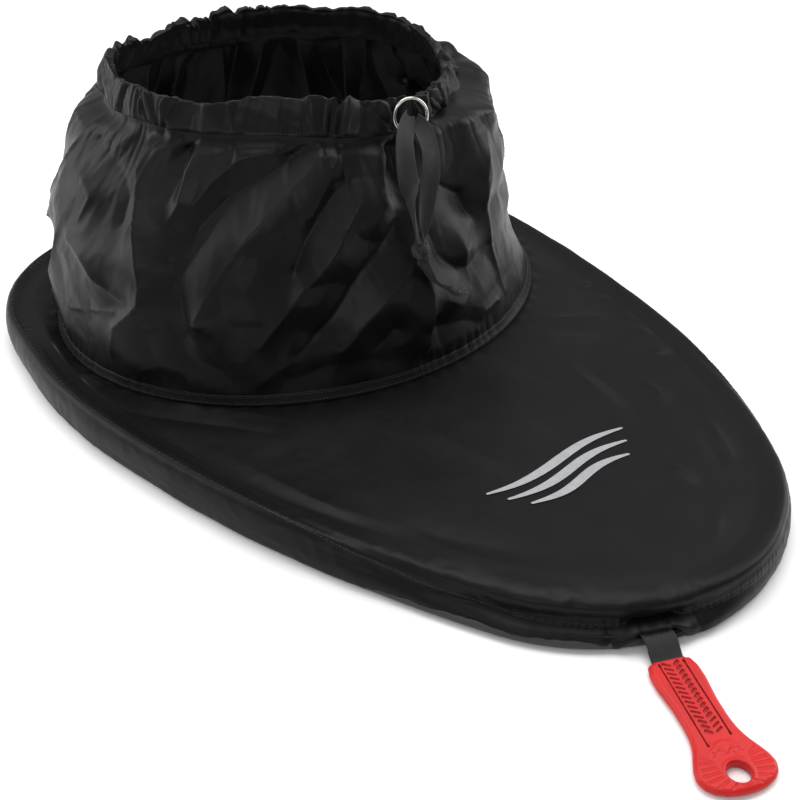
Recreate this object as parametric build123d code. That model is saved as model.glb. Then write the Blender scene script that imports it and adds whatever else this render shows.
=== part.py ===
from build123d import *
import math
import os

# Kayak spray skirt: a coated-nylon deck stretched over a cockpit rim, with a
# fabric waist tunnel gathered by a drawcord and a grab handle at the bow.
# Millimetres. +X points to the bow (the grab handle), +Z up, Y across.
# The rear edge of the rim is station 0 while the pieces are drawn; at the end
# everything moves so the middle of the rest length sits at X = 0.

# ---------------------------------------------------------------- dimensions
DECK_LENGTH = 850.0          # rim outline, stern to bow
DECK_TOP = 38.0              # top of the deck cloth above the surface
CLOTH = 1.5                  # working thickness of a cloth wall
# rim outline, one side: tangent arcs from the stern round to the bow
ARC_TURNS = (32.83, 50.39, 36.03, 60.75)
ARC_R1, ARC_R2 = 368.3, 160.7
# hem under the rim
HEM_WIDTH, HEM_HEIGHT = 15.0, 12.0
HEM_CHANNEL_W, HEM_CHANNEL_H = 11.0, 9.0
SHOCK_CORD_D = 8.0
# waist tunnel
TUNNEL_X = 261.0             # station of the tunnel's foot centre
TUNNEL_AX, TUNNEL_AY = 227.0, 249.0
WAIST_X = 267.75             # station of the waist opening's centre
TUNNEL_TOP = 240.0
# waist casing
CASING_OUT, CASING_IN = 170.0, 157.0
CASING_TOP = 276.0
CHANNEL_OUT, CHANNEL_IN = 166.5, 160.5
CHANNEL_LOW, CHANNEL_HIGH = 243.5, 273.5
TAPE_WIDTH, TAPE_THICK = 17.0, 1.2
# eyelet at the front of the casing
EYELET_Y, EYELET_Z = 14.0, 258.5
EYELET_OD, EYELET_ID = 33.0, 26.0
BARREL_OD = 27.6
# grab strap and handle
STRAP_ANGLE = -21.0          # heading of the strap, degrees from +X
WEB_W, WEB_T = 25.4, 2.0
STRAP_Z = 13.1               # mid-height of the webbing where it leaves the rim
STRAP_REACH = 16.5           # rim face to handle mouth
HANDLE_T = 8.0
HANDLE_MID = 4.5             # mid-height of the webbing slot in the handle
HANDLE_HOLE_R, HANDLE_HOLE_S = 8.5, 104.0
HANDLE_PROFILE = (           # distance from the mouth, half width
    (4, 17.6), (10, 19.2), (20, 19.4), (32, 18.3), (44, 17.3), (56, 17.2),
    (67, 18.0), (77, 20.5), (86, 24.5), (95, 28.2), (101, 29.2), (107, 27.6),
    (113, 22.5), (117, 14.5), (119, 0.0),
)


# ------------------------------------------------------------- rim outline
def _step(turn0, turn, radius):
    """Displacement along an arc that starts at heading 90-turn0 and turns right."""
    a0, a1 = math.radians(turn0), math.radians(turn0 + turn)
    return radius * (math.cos(a0) - math.cos(a1)), radius * (math.sin(a1) - math.sin(a0))


def arc_radii():
    """The last two radii close the half outline exactly on the centre line."""
    t = ARC_TURNS
    starts = [0.0, t[0], t[0] + t[1], t[0] + t[1] + t[2]]
    turn4 = 180.0 - starts[3]
    turns = (t[0], t[1], t[2], turn4)
    x = y = 0.0
    for s, a, r in ((starts[0], turns[0], ARC_R1), (starts[1], turns[1], ARC_R2)):
        dx, dy = _step(s, a, r)
        x, y = x + dx, y + dy
    ax, ay = _step(starts[2], turns[2], 1.0)
    bx, by = _step(starts[3], turns[3], 1.0)
    det = ax * by - ay * bx
    gx, gy = DECK_LENGTH - x, -y
    r3 = (gx * by - gy * bx) / det
    r4 = (ax * gy - ay * gx) / det
    return (ARC_R1, ARC_R2, r3, r4), turns, starts


RADII, TURNS, STARTS = arc_radii()


def half_points(inset):
    """Arc end points and middles of one side, inset from the rim outline."""
    x, y = inset, 0.0
    out = []
    for r, a, s in zip(RADII, TURNS, STARTS):
        rr = r - inset
        mx, my = _step(s, a / 2, rr)
        dx, dy = _step(s, a, rr)
        out.append(((x, y), (x + mx, y + my), (x + dx, y + dy)))
        x, y = x + dx, y + dy
    return out


def rim_wire(inset, z):
    edges = []
    half = half_points(inset)
    half[-1] = (half[-1][0], half[-1][1], (DECK_LENGTH - inset, 0.0))
    for p0, pm, p1 in half:
        edges.append(ThreePointArc((*p0, z), (*pm, z), (*p1, z)))
    for p0, pm, p1 in reversed(half):
        edges.append(ThreePointArc((p1[0], -p1[1], z), (pm[0], -pm[1], z), (p0[0], -p0[1], z)))
    return Wire(edges)


def slab(outer, inners, height):
    """A flat plate with holes, extruded up from its wires."""
    face = Face(outer, inners)
    if face.normal_at().Z < 0:
        face = -face
    return extrude(face, amount=height, dir=(0, 0, 1))


def rim_ring(out_inset, in_inset, z0, z1):
    return slab(rim_wire(out_inset, z0), [rim_wire(in_inset, z0)], z1 - z0)


def oval(ax, ay, cx, z):
    return Wire([Edge.make_ellipse(ax, ay, plane=Plane((cx, 0, z)))])


def oval_ring(ax, ay, cx, z0, z1, grow0, grow1):
    return slab(oval(ax + grow1, ay + grow1, cx, z0), [oval(ax + grow0, ay + grow0, cx, z0)], z1 - z0)


# ------------------------------------------------------------------- deck
deck_panel = slab(rim_wire(0.0, DECK_TOP - CLOTH), [oval(TUNNEL_AX - CLOTH, TUNNEL_AY - CLOTH, TUNNEL_X, DECK_TOP - CLOTH)], CLOTH)
rim_side_band = rim_ring(0.0, CLOTH, HEM_HEIGHT, DECK_TOP - CLOTH)

hem_side = (HEM_WIDTH - HEM_CHANNEL_W) / 2
hem_low = (HEM_HEIGHT - HEM_CHANNEL_H) / 2
rim_hem_channel = rim_ring(0.0, HEM_WIDTH, 0.0, HEM_HEIGHT) - rim_ring(
    hem_side, hem_side + HEM_CHANNEL_W, hem_low, hem_low + HEM_CHANNEL_H
)

# shock cord: a ring of tangent arcs in the hem, open at the stern
cord_inset = HEM_WIDTH / 2
CORD_GAP = 9.0               # half gap at the stern, degrees of the first arc
half = half_points(cord_inset)
r1 = RADII[0] - cord_inset
gap_deg = math.degrees(CORD_GAP / r1)
sx, sy = _step(0.0, gap_deg, r1)
mx, my = _step(gap_deg, (TURNS[0] - gap_deg) / 2, r1)
cord_start = (cord_inset + sx, sy)
cord_mid = (cord_start[0] + mx, cord_start[1] + my)
cz = HEM_HEIGHT / 2
segs = [(cord_start, cord_mid, half[0][2])] + half[1:3] + [(half[3][0], half[3][1], (DECK_LENGTH - cord_inset, 0.0))]
cord_edges = [ThreePointArc((*a, cz), (*m, cz), (*b, cz)) for a, m, b in segs]
cord_edges += [ThreePointArc((b[0], -b[1], cz), (m[0], -m[1], cz), (a[0], -a[1], cz)) for a, m, b in reversed(segs)]
cord_path = Wire(cord_edges)
head = cord_path % 0
cord_section = Plane(origin=cord_path @ 0, z_dir=head) * Circle(SHOCK_CORD_D / 2)
rim_shock_cord = sweep(cord_section, path=cord_path)

# crimp sleeve that joins the shock cord's two ends at the stern
crimp = Cylinder(SHOCK_CORD_D / 2 + 0.4, 2 * sy - 0.4, rotation=(90, 0, 0))
shock_cord_crimp = Pos(cord_inset + 0.05, 0, cz) * crimp

# a row of thread just inside the rim's top edge, and one down the side band
deck_edge_stitching = rim_ring(7.0, 7.8, DECK_TOP, DECK_TOP + 0.4)
band_stitching = rim_ring(-0.4, 0.0, 15.0, 15.7)

# ----------------------------------------------------------------- tunnel
SECTIONS = (                 # height, semi axes, centre station
    (DECK_TOP, TUNNEL_AX, TUNNEL_AY, TUNNEL_X),
    (140.0, 209.0, 229.0, 263.0),
    (205.0, 190.0, 196.0, 266.0),
    (TUNNEL_TOP, 168.5, 168.6, WAIST_X),
)


def tunnel_body(inset):
    return Solid.make_loft([oval(ax - inset, ay - inset, cx, z) for z, ax, ay, cx in SECTIONS])


waist_tunnel = tunnel_body(0.0) - tunnel_body(CLOTH)


def wall_front(z):
    """Station of the tunnel's front wall at a height (straight between sections)."""
    for (z0, a0, _, c0), (z1, a1, _, c1) in zip(SECTIONS, SECTIONS[1:]):
        if z0 <= z <= z1:
            k = (z - z0) / (z1 - z0)
            return c0 + a0 + k * (c1 + a1 - c0 - a0)
    return SECTIONS[-1][3] + SECTIONS[-1][1]


# felled seam tape down the front of the tunnel, on its inner face
seam_y = -22.0
seam_shell = tunnel_body(CLOTH) - tunnel_body(CLOTH + 1.0)
tunnel_front_seam = seam_shell & Pos(TUNNEL_X + 220, seam_y, 140) * Box(200, 12, 260)

tunnel_base_band = oval_ring(TUNNEL_AX, TUNNEL_AY, TUNNEL_X, DECK_TOP, DECK_TOP + 9.0, 0.15, 1.35)
tunnel_base_stitching = Compound(children=[
    oval_ring(TUNNEL_AX, TUNNEL_AY, TUNNEL_X, DECK_TOP + 1.8, DECK_TOP + 2.4, 1.35, 1.8),
    oval_ring(TUNNEL_AX, TUNNEL_AY, TUNNEL_X, DECK_TOP + 6.4, DECK_TOP + 7.0, 1.35, 1.8),
])

# ----------------------------------------------------------------- casing
def ring(r_out, r_in, z0, z1):
    body = Cylinder(r_out, z1 - z0, align=(Align.CENTER, Align.CENTER, Align.MIN)) - Cylinder(
        r_in, z1 - z0, align=(Align.CENTER, Align.CENTER, Align.MIN)
    )
    return Pos(WAIST_X, 0, z0) * body


eyelet_deg = math.degrees(math.asin(EYELET_Y / CASING_OUT))
eyelet_frame = Pos(WAIST_X, 0, EYELET_Z) * Rot(0, 0, eyelet_deg)


def eyelet_disc(r_out, r_in, x0, x1):
    solid = Cylinder(r_out, x1 - x0, align=(Align.CENTER, Align.CENTER, Align.MIN))
    if r_in:
        solid -= Cylinder(r_in, x1 - x0, align=(Align.CENTER, Align.CENTER, Align.MIN))
    return eyelet_frame * Pos(x0, 0, 0) * Rot(0, 90, 0) * solid


waist_casing = ring(CASING_OUT, CASING_IN, TUNNEL_TOP, CASING_TOP)
waist_casing = fillet(waist_casing.edges().filter_by(GeomType.CIRCLE).group_by(Axis.Z)[-1], 4.0)
waist_casing -= ring(CHANNEL_OUT, CHANNEL_IN, CHANNEL_LOW, CHANNEL_HIGH)
waist_casing -= eyelet_disc(BARREL_OD / 2 + 0.1, 0, 163.5, 175.0)

drawcord_ring = ring(163.4, 163.4 - TAPE_THICK, 250.0, 250.0 + TAPE_WIDTH)
mouth = Pos(WAIST_X, 0, 258) * Rot(0, 0, eyelet_deg) * Pos(165, 0, 0) * Box(60, 34, 60)
waist_drawcord = drawcord_ring - mouth

face_x = CASING_OUT + 0.2
flange = eyelet_disc(EYELET_OD / 2, EYELET_ID / 2, face_x, face_x + 2.0)
barrel = eyelet_disc(BARREL_OD / 2, EYELET_ID / 2, 164.2, face_x)
eyelet_ring = flange + barrel
rim_edges = [e for e in eyelet_ring.edges().filter_by(GeomType.CIRCLE) if abs(e.radius - EYELET_OD / 2) < 0.01]
eyelet_ring = fillet(rim_edges, 0.8)
eyelet_washer = eyelet_disc(14.8, BARREL_OD / 2 + 0.05, 164.6, 165.5)

casing_stitching = Compound(children=[
    ring(CASING_OUT + 0.4, CASING_OUT, TUNNEL_TOP + 0.8, TUNNEL_TOP + 1.5),
])

# -------------------------------------------------------- drawcord tails
# Flat woven tape. Routes are local: outward from the eyelet face, then up.
# Each tape is bent only about its own width, so it is drawn on edge and
# given its width across.
EXIT_R = face_x + 2.0 + 5.5
exit_x = WAIST_X + EXIT_R * math.cos(math.radians(eyelet_deg))
exit_y = EXIT_R * math.sin(math.radians(eyelet_deg))
KNOT_AT = (482.0, -4.0, 152.0)
TAIL_RIGHT = [(0.0, 0.0), (13.0, -7.0), (25.0, -29.0), (32.5, -62.0), (36.5, -93.0)]
TAIL_LEFT = [(0.0, 3.6), (16.5, -4.0), (30.0, -28.0), (38.0, -60.0), (42.0, -93.0)]
TAIL_END = [(0.0, 0.0), (9.0, -17.0), (20.0, -31.0), (36.0, -40.0)]


def tape(points, width, thick, origin, heading):
    """Straight runs joined by tangent arcs, thickened and given a width."""
    radii = []
    for a, b, c in zip(points, points[1:], points[2:]):
        v0, v1 = Vector(b[0] - a[0], b[1] - a[1]), Vector(c[0] - b[0], c[1] - b[1])
        turn = v0.get_angle(v1)
        radii.append(0.45 * min(v0.length, v1.length) / math.tan(math.radians(turn / 2)))
    print("tape radii", [round(r, 1) for r in radii])
    path = FilletPolyline(*points, radius=radii)
    length = path.length
    section = offset_band(path, thick)
    solid = extrude(section, amount=width / 2, both=True)
    want = width * thick * length
    print("tape volume", round(solid.volume), "section times length", round(want), "length", round(length, 1))
    plane = Plane(origin=origin, x_dir=(math.cos(math.radians(heading)), math.sin(math.radians(heading)), 0),
                  z_dir=(math.sin(math.radians(heading)), -math.cos(math.radians(heading)), 0))
    return plane * solid, length


def offset_band(path, thick):
    """The flat band of a given thickness that follows a planar path of runs and arcs."""
    faces = []
    for edge in path.edges():
        p0, p1 = edge @ 0, edge @ 1
        t0, t1 = edge % 0, edge % 1
        n0, n1 = Vector(-t0.Y, t0.X), Vector(-t1.Y, t1.X)
        h = thick / 2
        if edge.geom_type == GeomType.LINE:
            wire = Wire.make_polygon([p0 + n0 * h, p1 + n1 * h, p1 - n1 * h, p0 - n0 * h], close=True)
        else:
            pm, tm = edge @ 0.5, edge % 0.5
            nm = Vector(-tm.Y, tm.X)
            wire = Wire([
                ThreePointArc(p0 + n0 * h, pm + nm * h, p1 + n1 * h),
                Line(p1 + n1 * h, p1 - n1 * h),
                ThreePointArc(p1 - n1 * h, pm - nm * h, p0 - n0 * h),
                Line(p0 - n0 * h, p0 + n0 * h),
            ])
        faces.append(Face(wire))
    band = faces[0]
    for f in faces[1:]:
        band = band + f
    return band


exit_point = (exit_x, exit_y, EYELET_Z)
heading_right = math.degrees(math.atan2(KNOT_AT[1] + 1.5 - exit_y, 41.0))
drawcord_tail_right, len_right = tape(TAIL_RIGHT, TAPE_WIDTH, 2.0, (exit_x, exit_y, EYELET_Z), heading_right)
drawcord_tail_left, len_left = tape(TAIL_LEFT, TAPE_WIDTH, 2.0, (exit_x, exit_y, EYELET_Z), heading_right)

# the knot that ties both tails, and the doubled end below it
a = math.radians(heading_right)
knot_c = (exit_x + 40.5 * math.cos(a), exit_y + 40.5 * math.sin(a), EYELET_Z - 93.0 - 7.5)
knot_body = Box(15, 19, 14.6)
knot_body = fillet(knot_body.edges(), 4.0)
drawcord_knot = Pos(*knot_c) * Rot(0, 0, heading_right) * knot_body
END_HEADING = 52.0
end_origin = (knot_c[0] + 1.0, knot_c[1] + 1.0, knot_c[2] - 7.9)
drawcord_end, len_end = tape(TAIL_END, 13.0, 2.4, end_origin, END_HEADING)
ea = math.radians(END_HEADING)
tie_c = (end_origin[0] + 39.8 * math.cos(ea), end_origin[1] + 39.8 * math.sin(ea), end_origin[2] - 42.2)
tie_body = fillet(Box(7, 8, 7).edges(), 2.5)
drawcord_end_tie = Pos(*tie_c) * Rot(0, 0, END_HEADING) * Rot(0, 29, 0) * tie_body

# ------------------------------------------------------- strap and handle
nose_c = DECK_LENGTH - RADII[3]
sa = math.radians(STRAP_ANGLE)
rim_exit = (nose_c + RADII[3] * math.cos(sa), RADII[3] * math.sin(sa), 0.0)
# local frame: X outward along the strap, Y across it, Z up
strap_frame = Pos(*rim_exit) * Rot(0, 0, STRAP_ANGLE)


h = WEB_T / 2
slot = Box(12, WEB_W + 0.8, WEB_T + 0.2)
rim_side_band -= strap_frame * Pos(0, 0, STRAP_Z) * slot
anchor_low = HEM_HEIGHT
strap_anchor_webbing = strap_frame * Pos(-11.5, 0, anchor_low + 0.1 + h) * Box(22.0, WEB_W, WEB_T)
strap_bar_tack = strap_frame * Pos(-9.0, 0, anchor_low + 0.1 + WEB_T + 0.3) * (
    Compound(children=[Pos(0, 0, 0) * Box(1.6, 21, 0.6), Pos(-8, 0, 0) * Box(1.6, 21, 0.6)])
)
# the strap is a flat strip with a round end about each of its two hinge lines
HINGE_RIM = (1.4, STRAP_Z)               # outward from the rim face, height
HINGE_MOUTH = (STRAP_REACH - 1.4, HANDLE_MID)
run = math.hypot(HINGE_MOUTH[0] - HINGE_RIM[0], HINGE_MOUTH[1] - HINGE_RIM[1])
ux, uz = (HINGE_MOUTH[0] - HINGE_RIM[0]) / run, (HINGE_MOUTH[1] - HINGE_RIM[1]) / run


def side(centre, along, across):
    return (centre[0] + along * ux - across * uz, 0, centre[1] + along * uz + across * ux)


strap_wire = Wire([
    Line(side(HINGE_RIM, 0, h), side(HINGE_MOUTH, 0, h)),
    ThreePointArc(side(HINGE_MOUTH, 0, h), side(HINGE_MOUTH, h, 0), side(HINGE_MOUTH, 0, -h)),
    Line(side(HINGE_MOUTH, 0, -h), side(HINGE_RIM, 0, -h)),
    ThreePointArc(side(HINGE_RIM, 0, -h), side(HINGE_RIM, -h, 0), side(HINGE_RIM, 0, h)),
])
grab_strap = strap_frame * extrude(Face(strap_wire), amount=WEB_W / 2, both=True)

handle_frame = strap_frame * Pos(STRAP_REACH, 0, 0)
up = [(s, w) for s, w in HANDLE_PROFILE]
curve = Spline([(s, w) for s, w in up] + [(s, -w) for s, w in reversed(up[:-1])], tangents=[(0.55, 0.35), (-0.55, 0.35)])
outline = Wire([
    curve,
    ThreePointArc((4, -17.6), (1.6, -16.4), (0, -13.5)),
    Line((0, -13.5), (0, 13.5)),
    ThreePointArc((0, 13.5), (1.6, 16.4), (4, 17.6)),
])
handle_body = extrude(Face(outline), amount=HANDLE_T, dir=(0, 0, 1))
handle_body -= Pos(HANDLE_HOLE_S, 0, 0) * Cylinder(HANDLE_HOLE_R, 40)
handle_body -= Pos(9.5, 0, HANDLE_MID) * Box(25, WEB_W + 0.2, WEB_T + 0.2)
grab_handle = handle_frame * handle_body
strap_tongue = handle_frame * Pos(11.0, 0, HANDLE_MID) * Box(21.6, WEB_W, WEB_T)

# ------------------------------------------------------------- deck print
# three stacked wavy bars, a plain mark with no lettering
PRINT_X, PRINT_HALF, PRINT_T = 672.0, 78.0, 0.3


def wave_bar(station, amp, half_len, thick):
    n = 12
    front, back = [], []
    for i in range(n + 1):
        y = -half_len + 2 * half_len * i / n
        x = station + amp * math.sin(math.pi * 2 * i / n)
        w = thick / 2 * (0.25 + 0.75 * math.sin(math.pi * i / n))
        front.append((x + w, y, DECK_TOP))
        back.append((x - w, y, DECK_TOP))
    edges = [Spline(front), Line(front[-1], back[-1]), Spline(list(reversed(back))), Line(back[0], front[0])]
    face = Face(Wire(edges))
    if face.normal_at().Z < 0:
        face = -face
    return extrude(face, amount=PRINT_T, dir=(0, 0, 1))


deck_print = Compound(children=[
    wave_bar(PRINT_X - 15, 4.5, PRINT_HALF, 9.0),
    wave_bar(PRINT_X, 4.5, PRINT_HALF - 10, 9.0),
    wave_bar(PRINT_X + 15, 4.5, PRINT_HALF - 22, 9.0),
])

# ------------------------------------------------------------------ export
NODES = {
    "deck_panel": deck_panel,
    "rim_side_band": rim_side_band,
    "rim_hem_channel": rim_hem_channel,
    "rim_shock_cord": rim_shock_cord,
    "shock_cord_crimp": shock_cord_crimp,
    "deck_edge_stitching": deck_edge_stitching,
    "side_band_stitching": band_stitching,
    "tunnel_base_band": tunnel_base_band,
    "tunnel_base_stitching": tunnel_base_stitching,
    "waist_tunnel": waist_tunnel,
    "tunnel_front_seam": tunnel_front_seam,
    "waist_casing": waist_casing,
    "casing_stitching": casing_stitching,
    "waist_drawcord": waist_drawcord,
    "eyelet_ring": eyelet_ring,
    "eyelet_washer": eyelet_washer,
    "drawcord_tail_left": drawcord_tail_left,
    "drawcord_tail_right": drawcord_tail_right,
    "drawcord_knot": drawcord_knot,
    "drawcord_end": drawcord_end,
    "drawcord_end_tie": drawcord_end_tie,
    "strap_anchor_webbing": strap_anchor_webbing,
    "strap_bar_tack": strap_bar_tack,
    "grab_strap": grab_strap,
    "strap_tongue": strap_tongue,
    "grab_handle": grab_handle,
    "deck_print": deck_print,
}

MID = (grab_handle.bounding_box().max.X - 0.4) / 2   # thread stands 0.4 proud of the stern
os.makedirs("parts", exist_ok=True)
for name, shape in NODES.items():
    solids = shape.solids()
    placed = Pos(-MID, 0, 0) * (solids[0] if len(solids) == 1 else Compound(children=list(solids)))
    export_step(placed, f"parts/{name}.step")
    box = placed.bounding_box()
    print(name, len(solids), "volume", round(placed.volume), [round(v, 1) for v in (*box.min, *box.max)])

print("middle station", round(MID, 3))
print("casing centre", round(WAIST_X - MID, 2), "tunnel centre", round(TUNNEL_X - MID, 2))
print("eyelet exit", [round(v, 2) for v in (exit_x - MID, exit_y, EYELET_Z)], "angle", round(eyelet_deg, 3))
print("tail heading", round(heading_right, 3), "lengths", round(len_left, 1), round(len_right, 1), round(len_end, 1))
print("knot", [round(v, 2) for v in (knot_c[0] - MID, knot_c[1], knot_c[2])])
print("end origin", [round(v, 2) for v in (end_origin[0] - MID, end_origin[1], end_origin[2])])
print("tie", [round(v, 2) for v in (tie_c[0] - MID, tie_c[1], tie_c[2])])
print("rim exit", [round(v, 2) for v in (rim_exit[0] - MID, rim_exit[1])], "radii", [round(r, 2) for r in RADII], "turns", TURNS)
mouth_at = (rim_exit[0] + STRAP_REACH * math.cos(sa) - MID, rim_exit[1] + STRAP_REACH * math.sin(sa))
hole_at = (mouth_at[0] + HANDLE_HOLE_S * math.cos(sa), mouth_at[1] + HANDLE_HOLE_S * math.sin(sa))
for tag, (out_s, z) in (("hinge rim", HINGE_RIM), ("hinge mouth", HINGE_MOUTH)):
    print(tag, round(rim_exit[0] + out_s * math.cos(sa) - MID, 3), round(rim_exit[1] + out_s * math.sin(sa), 3), z)
print("mouth", [round(v, 3) for v in mouth_at], "hole", [round(v, 3) for v in hole_at])
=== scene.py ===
import math

import bpy
import numpy as np
from mathutils import Matrix, Vector


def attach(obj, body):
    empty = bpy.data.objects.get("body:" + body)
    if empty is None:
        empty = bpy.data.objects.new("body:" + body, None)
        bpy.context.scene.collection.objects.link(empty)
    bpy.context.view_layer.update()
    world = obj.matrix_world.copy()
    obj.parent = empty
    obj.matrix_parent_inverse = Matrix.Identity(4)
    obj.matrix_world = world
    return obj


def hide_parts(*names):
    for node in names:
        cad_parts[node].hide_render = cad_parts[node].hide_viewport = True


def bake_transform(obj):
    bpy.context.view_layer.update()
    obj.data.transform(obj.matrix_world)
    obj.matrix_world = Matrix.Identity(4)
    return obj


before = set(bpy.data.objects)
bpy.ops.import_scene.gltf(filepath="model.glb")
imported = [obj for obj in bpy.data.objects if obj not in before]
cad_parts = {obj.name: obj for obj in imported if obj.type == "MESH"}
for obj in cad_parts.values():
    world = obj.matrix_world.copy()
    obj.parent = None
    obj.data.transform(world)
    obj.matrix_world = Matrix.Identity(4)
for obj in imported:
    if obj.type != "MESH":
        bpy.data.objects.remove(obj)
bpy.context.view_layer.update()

MM = 0.001
MID = 483.799                 # station of the row frame's X = 0, mm
TUNNEL_C = 261.0 - MID        # tunnel foot centre, mm
WAIST_C = 267.75 - MID        # waist opening centre, mm
STRAP_DEG = -21.0


# ------------------------------------------------------------------ camera
def aim(obj, forward):
    f = Vector(forward).normalized()
    obj.rotation_mode = "QUATERNION"
    obj.rotation_quaternion = f.to_track_quat("-Z", "Y")


cam_data = bpy.data.cameras.new("view")
cam = bpy.data.objects.new("view", cam_data)
bpy.context.scene.collection.objects.link(cam)
cam.location = (0.7572, -0.60605, 0.67125)
aim(cam, (-0.65894, 0.49672, -0.56497))
cam_data.lens = 55.69
cam_data.shift_y = -0.0054
cam_data.sensor_width = 36.0
cam_data.clip_start, cam_data.clip_end = 0.02, 50
bpy.context.scene.camera = cam
bpy.context.scene.view_settings.view_transform = "Standard"


# --------------------------------------------------------------- small tools
def smooth(a, b, x):
    t = np.clip((np.asarray(x, float) - a) / (b - a), 0, 1)
    return t * t * (3 - 2 * t)


def bump(x, centre, width):
    """1 at the centre, 0 a width away, smooth."""
    t = np.clip(1 - np.abs(np.asarray(x, float) - centre) / width, 0, 1)
    return t * t * (3 - 2 * t)


def turn_from(theta, centre):
    """Signed difference of two directions in degrees, -180 to 180."""
    return (np.asarray(theta, float) - centre + 180) % 360 - 180


def waves(p, wavelength, seed, n=20, stretch=(1, 1, 1)):
    """Smooth noise of about unit size with one usual wavelength, for points p (N, 3)."""
    r = np.random.default_rng(seed)
    d = r.normal(size=(n, 3))
    d /= np.linalg.norm(d, axis=1)[:, None]
    k = 2 * np.pi / (wavelength * r.uniform(0.75, 1.35, n))
    d = d * k[:, None] / np.array(stretch)
    phase = r.uniform(0, 2 * np.pi, n)
    out = np.zeros(len(p))
    for i in range(n):
        out += np.cos(p @ d[i] + phase[i])
    return out * math.sqrt(2.0 / n)


def hermite(xs, ys, x):
    """Monotone-ish cubic through the table, flat past its ends."""
    xs, ys = np.array(xs, float), np.array(ys, float)
    d = np.diff(ys) / np.diff(xs)
    m = np.zeros(len(xs))
    m[1:-1] = np.where(d[:-1] * d[1:] > 0, 2 * d[:-1] * d[1:] / np.where(d[:-1] + d[1:] == 0, 1, d[:-1] + d[1:]), 0)
    m[0], m[-1] = d[0], d[-1]
    x = np.clip(x, xs[0], xs[-1])
    i = np.clip(np.searchsorted(xs, x) - 1, 0, len(xs) - 2)
    h = xs[i + 1] - xs[i]
    t = (x - xs[i]) / h
    return ((2 * t**3 - 3 * t**2 + 1) * ys[i] + (t**3 - 2 * t**2 + t) * h * m[i]
            + (-2 * t**3 + 3 * t**2) * ys[i + 1] + (t**3 - t**2) * h * m[i + 1])


def make_mesh(name, verts, faces, uvs=None, shade=True):
    """A mesh object from points in mm and faces; uvs is one (u, v) for each point, or for each corner."""
    me = bpy.data.meshes.new(name)
    v = np.asarray(verts, float) * MM
    me.from_pydata(v.tolist(), [], [tuple(int(i) for i in f) for f in faces])
    if uvs is not None:
        uvs = np.asarray(uvs, float)
        layer = me.uv_layers.new(name="cloth")
        idx = np.zeros(len(me.loops), np.int32)
        me.loops.foreach_get("vertex_index", idx)
        layer.data.foreach_set("uv", (uvs[idx] if len(uvs) == len(v) else uvs).astype(np.float32).ravel())
    me.validate()
    if shade:
        me.polygons.foreach_set("use_smooth", np.ones(len(me.polygons), bool))
    me.update()
    ob = bpy.data.objects.new(name, me)
    bpy.context.scene.collection.objects.link(ob)
    return ob


def grid_faces(rows, cols, closed, flip=False):
    """Quads of a rows x cols grid of points, closed round the columns."""
    r, c = np.meshgrid(np.arange(rows - 1), np.arange(cols if closed else cols - 1), indexing="ij")
    r, c = r.ravel(), c.ravel()
    n = (c + 1) % cols
    q = np.stack([r * cols + c, r * cols + n, (r + 1) * cols + n, (r + 1) * cols + c], axis=1)
    return q[:, ::-1] if flip else q


def grid_piece(name, grid, closed=True, flip=False, uv=None):
    """A piece from a grid of points (rows, cols, 3) in mm. uv is a pair of arrays (rows, cols)."""
    rows, cols = grid.shape[:2]
    faces = grid_faces(rows, cols, closed, flip)
    if uv is None:
        step_r = np.concatenate([[0], np.cumsum(np.linalg.norm(np.diff(grid, axis=0), axis=2).mean(1))])
        mid = grid[rows // 2]
        step_c = np.concatenate([[0], np.cumsum(np.linalg.norm(np.diff(mid, axis=0), axis=1))])
        uu, vv = np.meshgrid(step_c, step_r)
        last = step_c[-1] + np.linalg.norm(mid[0] - mid[-1])
    else:
        uu, vv = uv
        last = float(uu[rows // 2, -1] * 2 - uu[rows // 2, -2])
    corner_u, corner_v = uu.ravel()[faces], vv.ravel()[faces]
    if closed:
        wrapped = (faces % cols == 0) & (faces.max(1)[:, None] % cols == cols - 1)
        corner_u = np.where(wrapped, last, corner_u)
    uvs = np.stack([corner_u, corner_v], axis=2).reshape(-1, 2) * MM
    ob = make_mesh(name, grid.reshape(-1, 3), faces, uvs)
    return ob


def thicken(ob, mm, offset=-1.0):
    m = ob.modifiers.new("cloth", "SOLIDIFY")
    m.thickness, m.offset, m.use_even_offset = mm * MM, offset, False
    return ob


def normals_of(grid, closed=True):
    """Unit normals of a grid of points."""
    if closed:
        du = np.roll(grid, -1, 1) - np.roll(grid, 1, 1)
    else:
        du = np.gradient(grid, axis=1)
    dv = np.gradient(grid, axis=0)
    n = np.cross(du, dv)
    return n / np.maximum(np.linalg.norm(n, axis=2, keepdims=True), 1e-9)


def sample(grid, row, col):
    """Points of a grid, closed round its columns, at fractional rows and columns."""
    rows, cols = grid.shape[:2]
    row = np.clip(row, 0, rows - 1.0001)
    r0, c0 = np.floor(row).astype(int), np.floor(col).astype(int)
    fr, fc = (row - r0)[..., None], (col - np.floor(col))[..., None]
    c0, c1 = c0 % cols, (c0 + 1) % cols
    return ((grid[r0, c0] * (1 - fc) + grid[r0, c1] * fc) * (1 - fr)
            + (grid[r0 + 1, c0] * (1 - fc) + grid[r0 + 1, c1] * fc) * fr)


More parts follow.
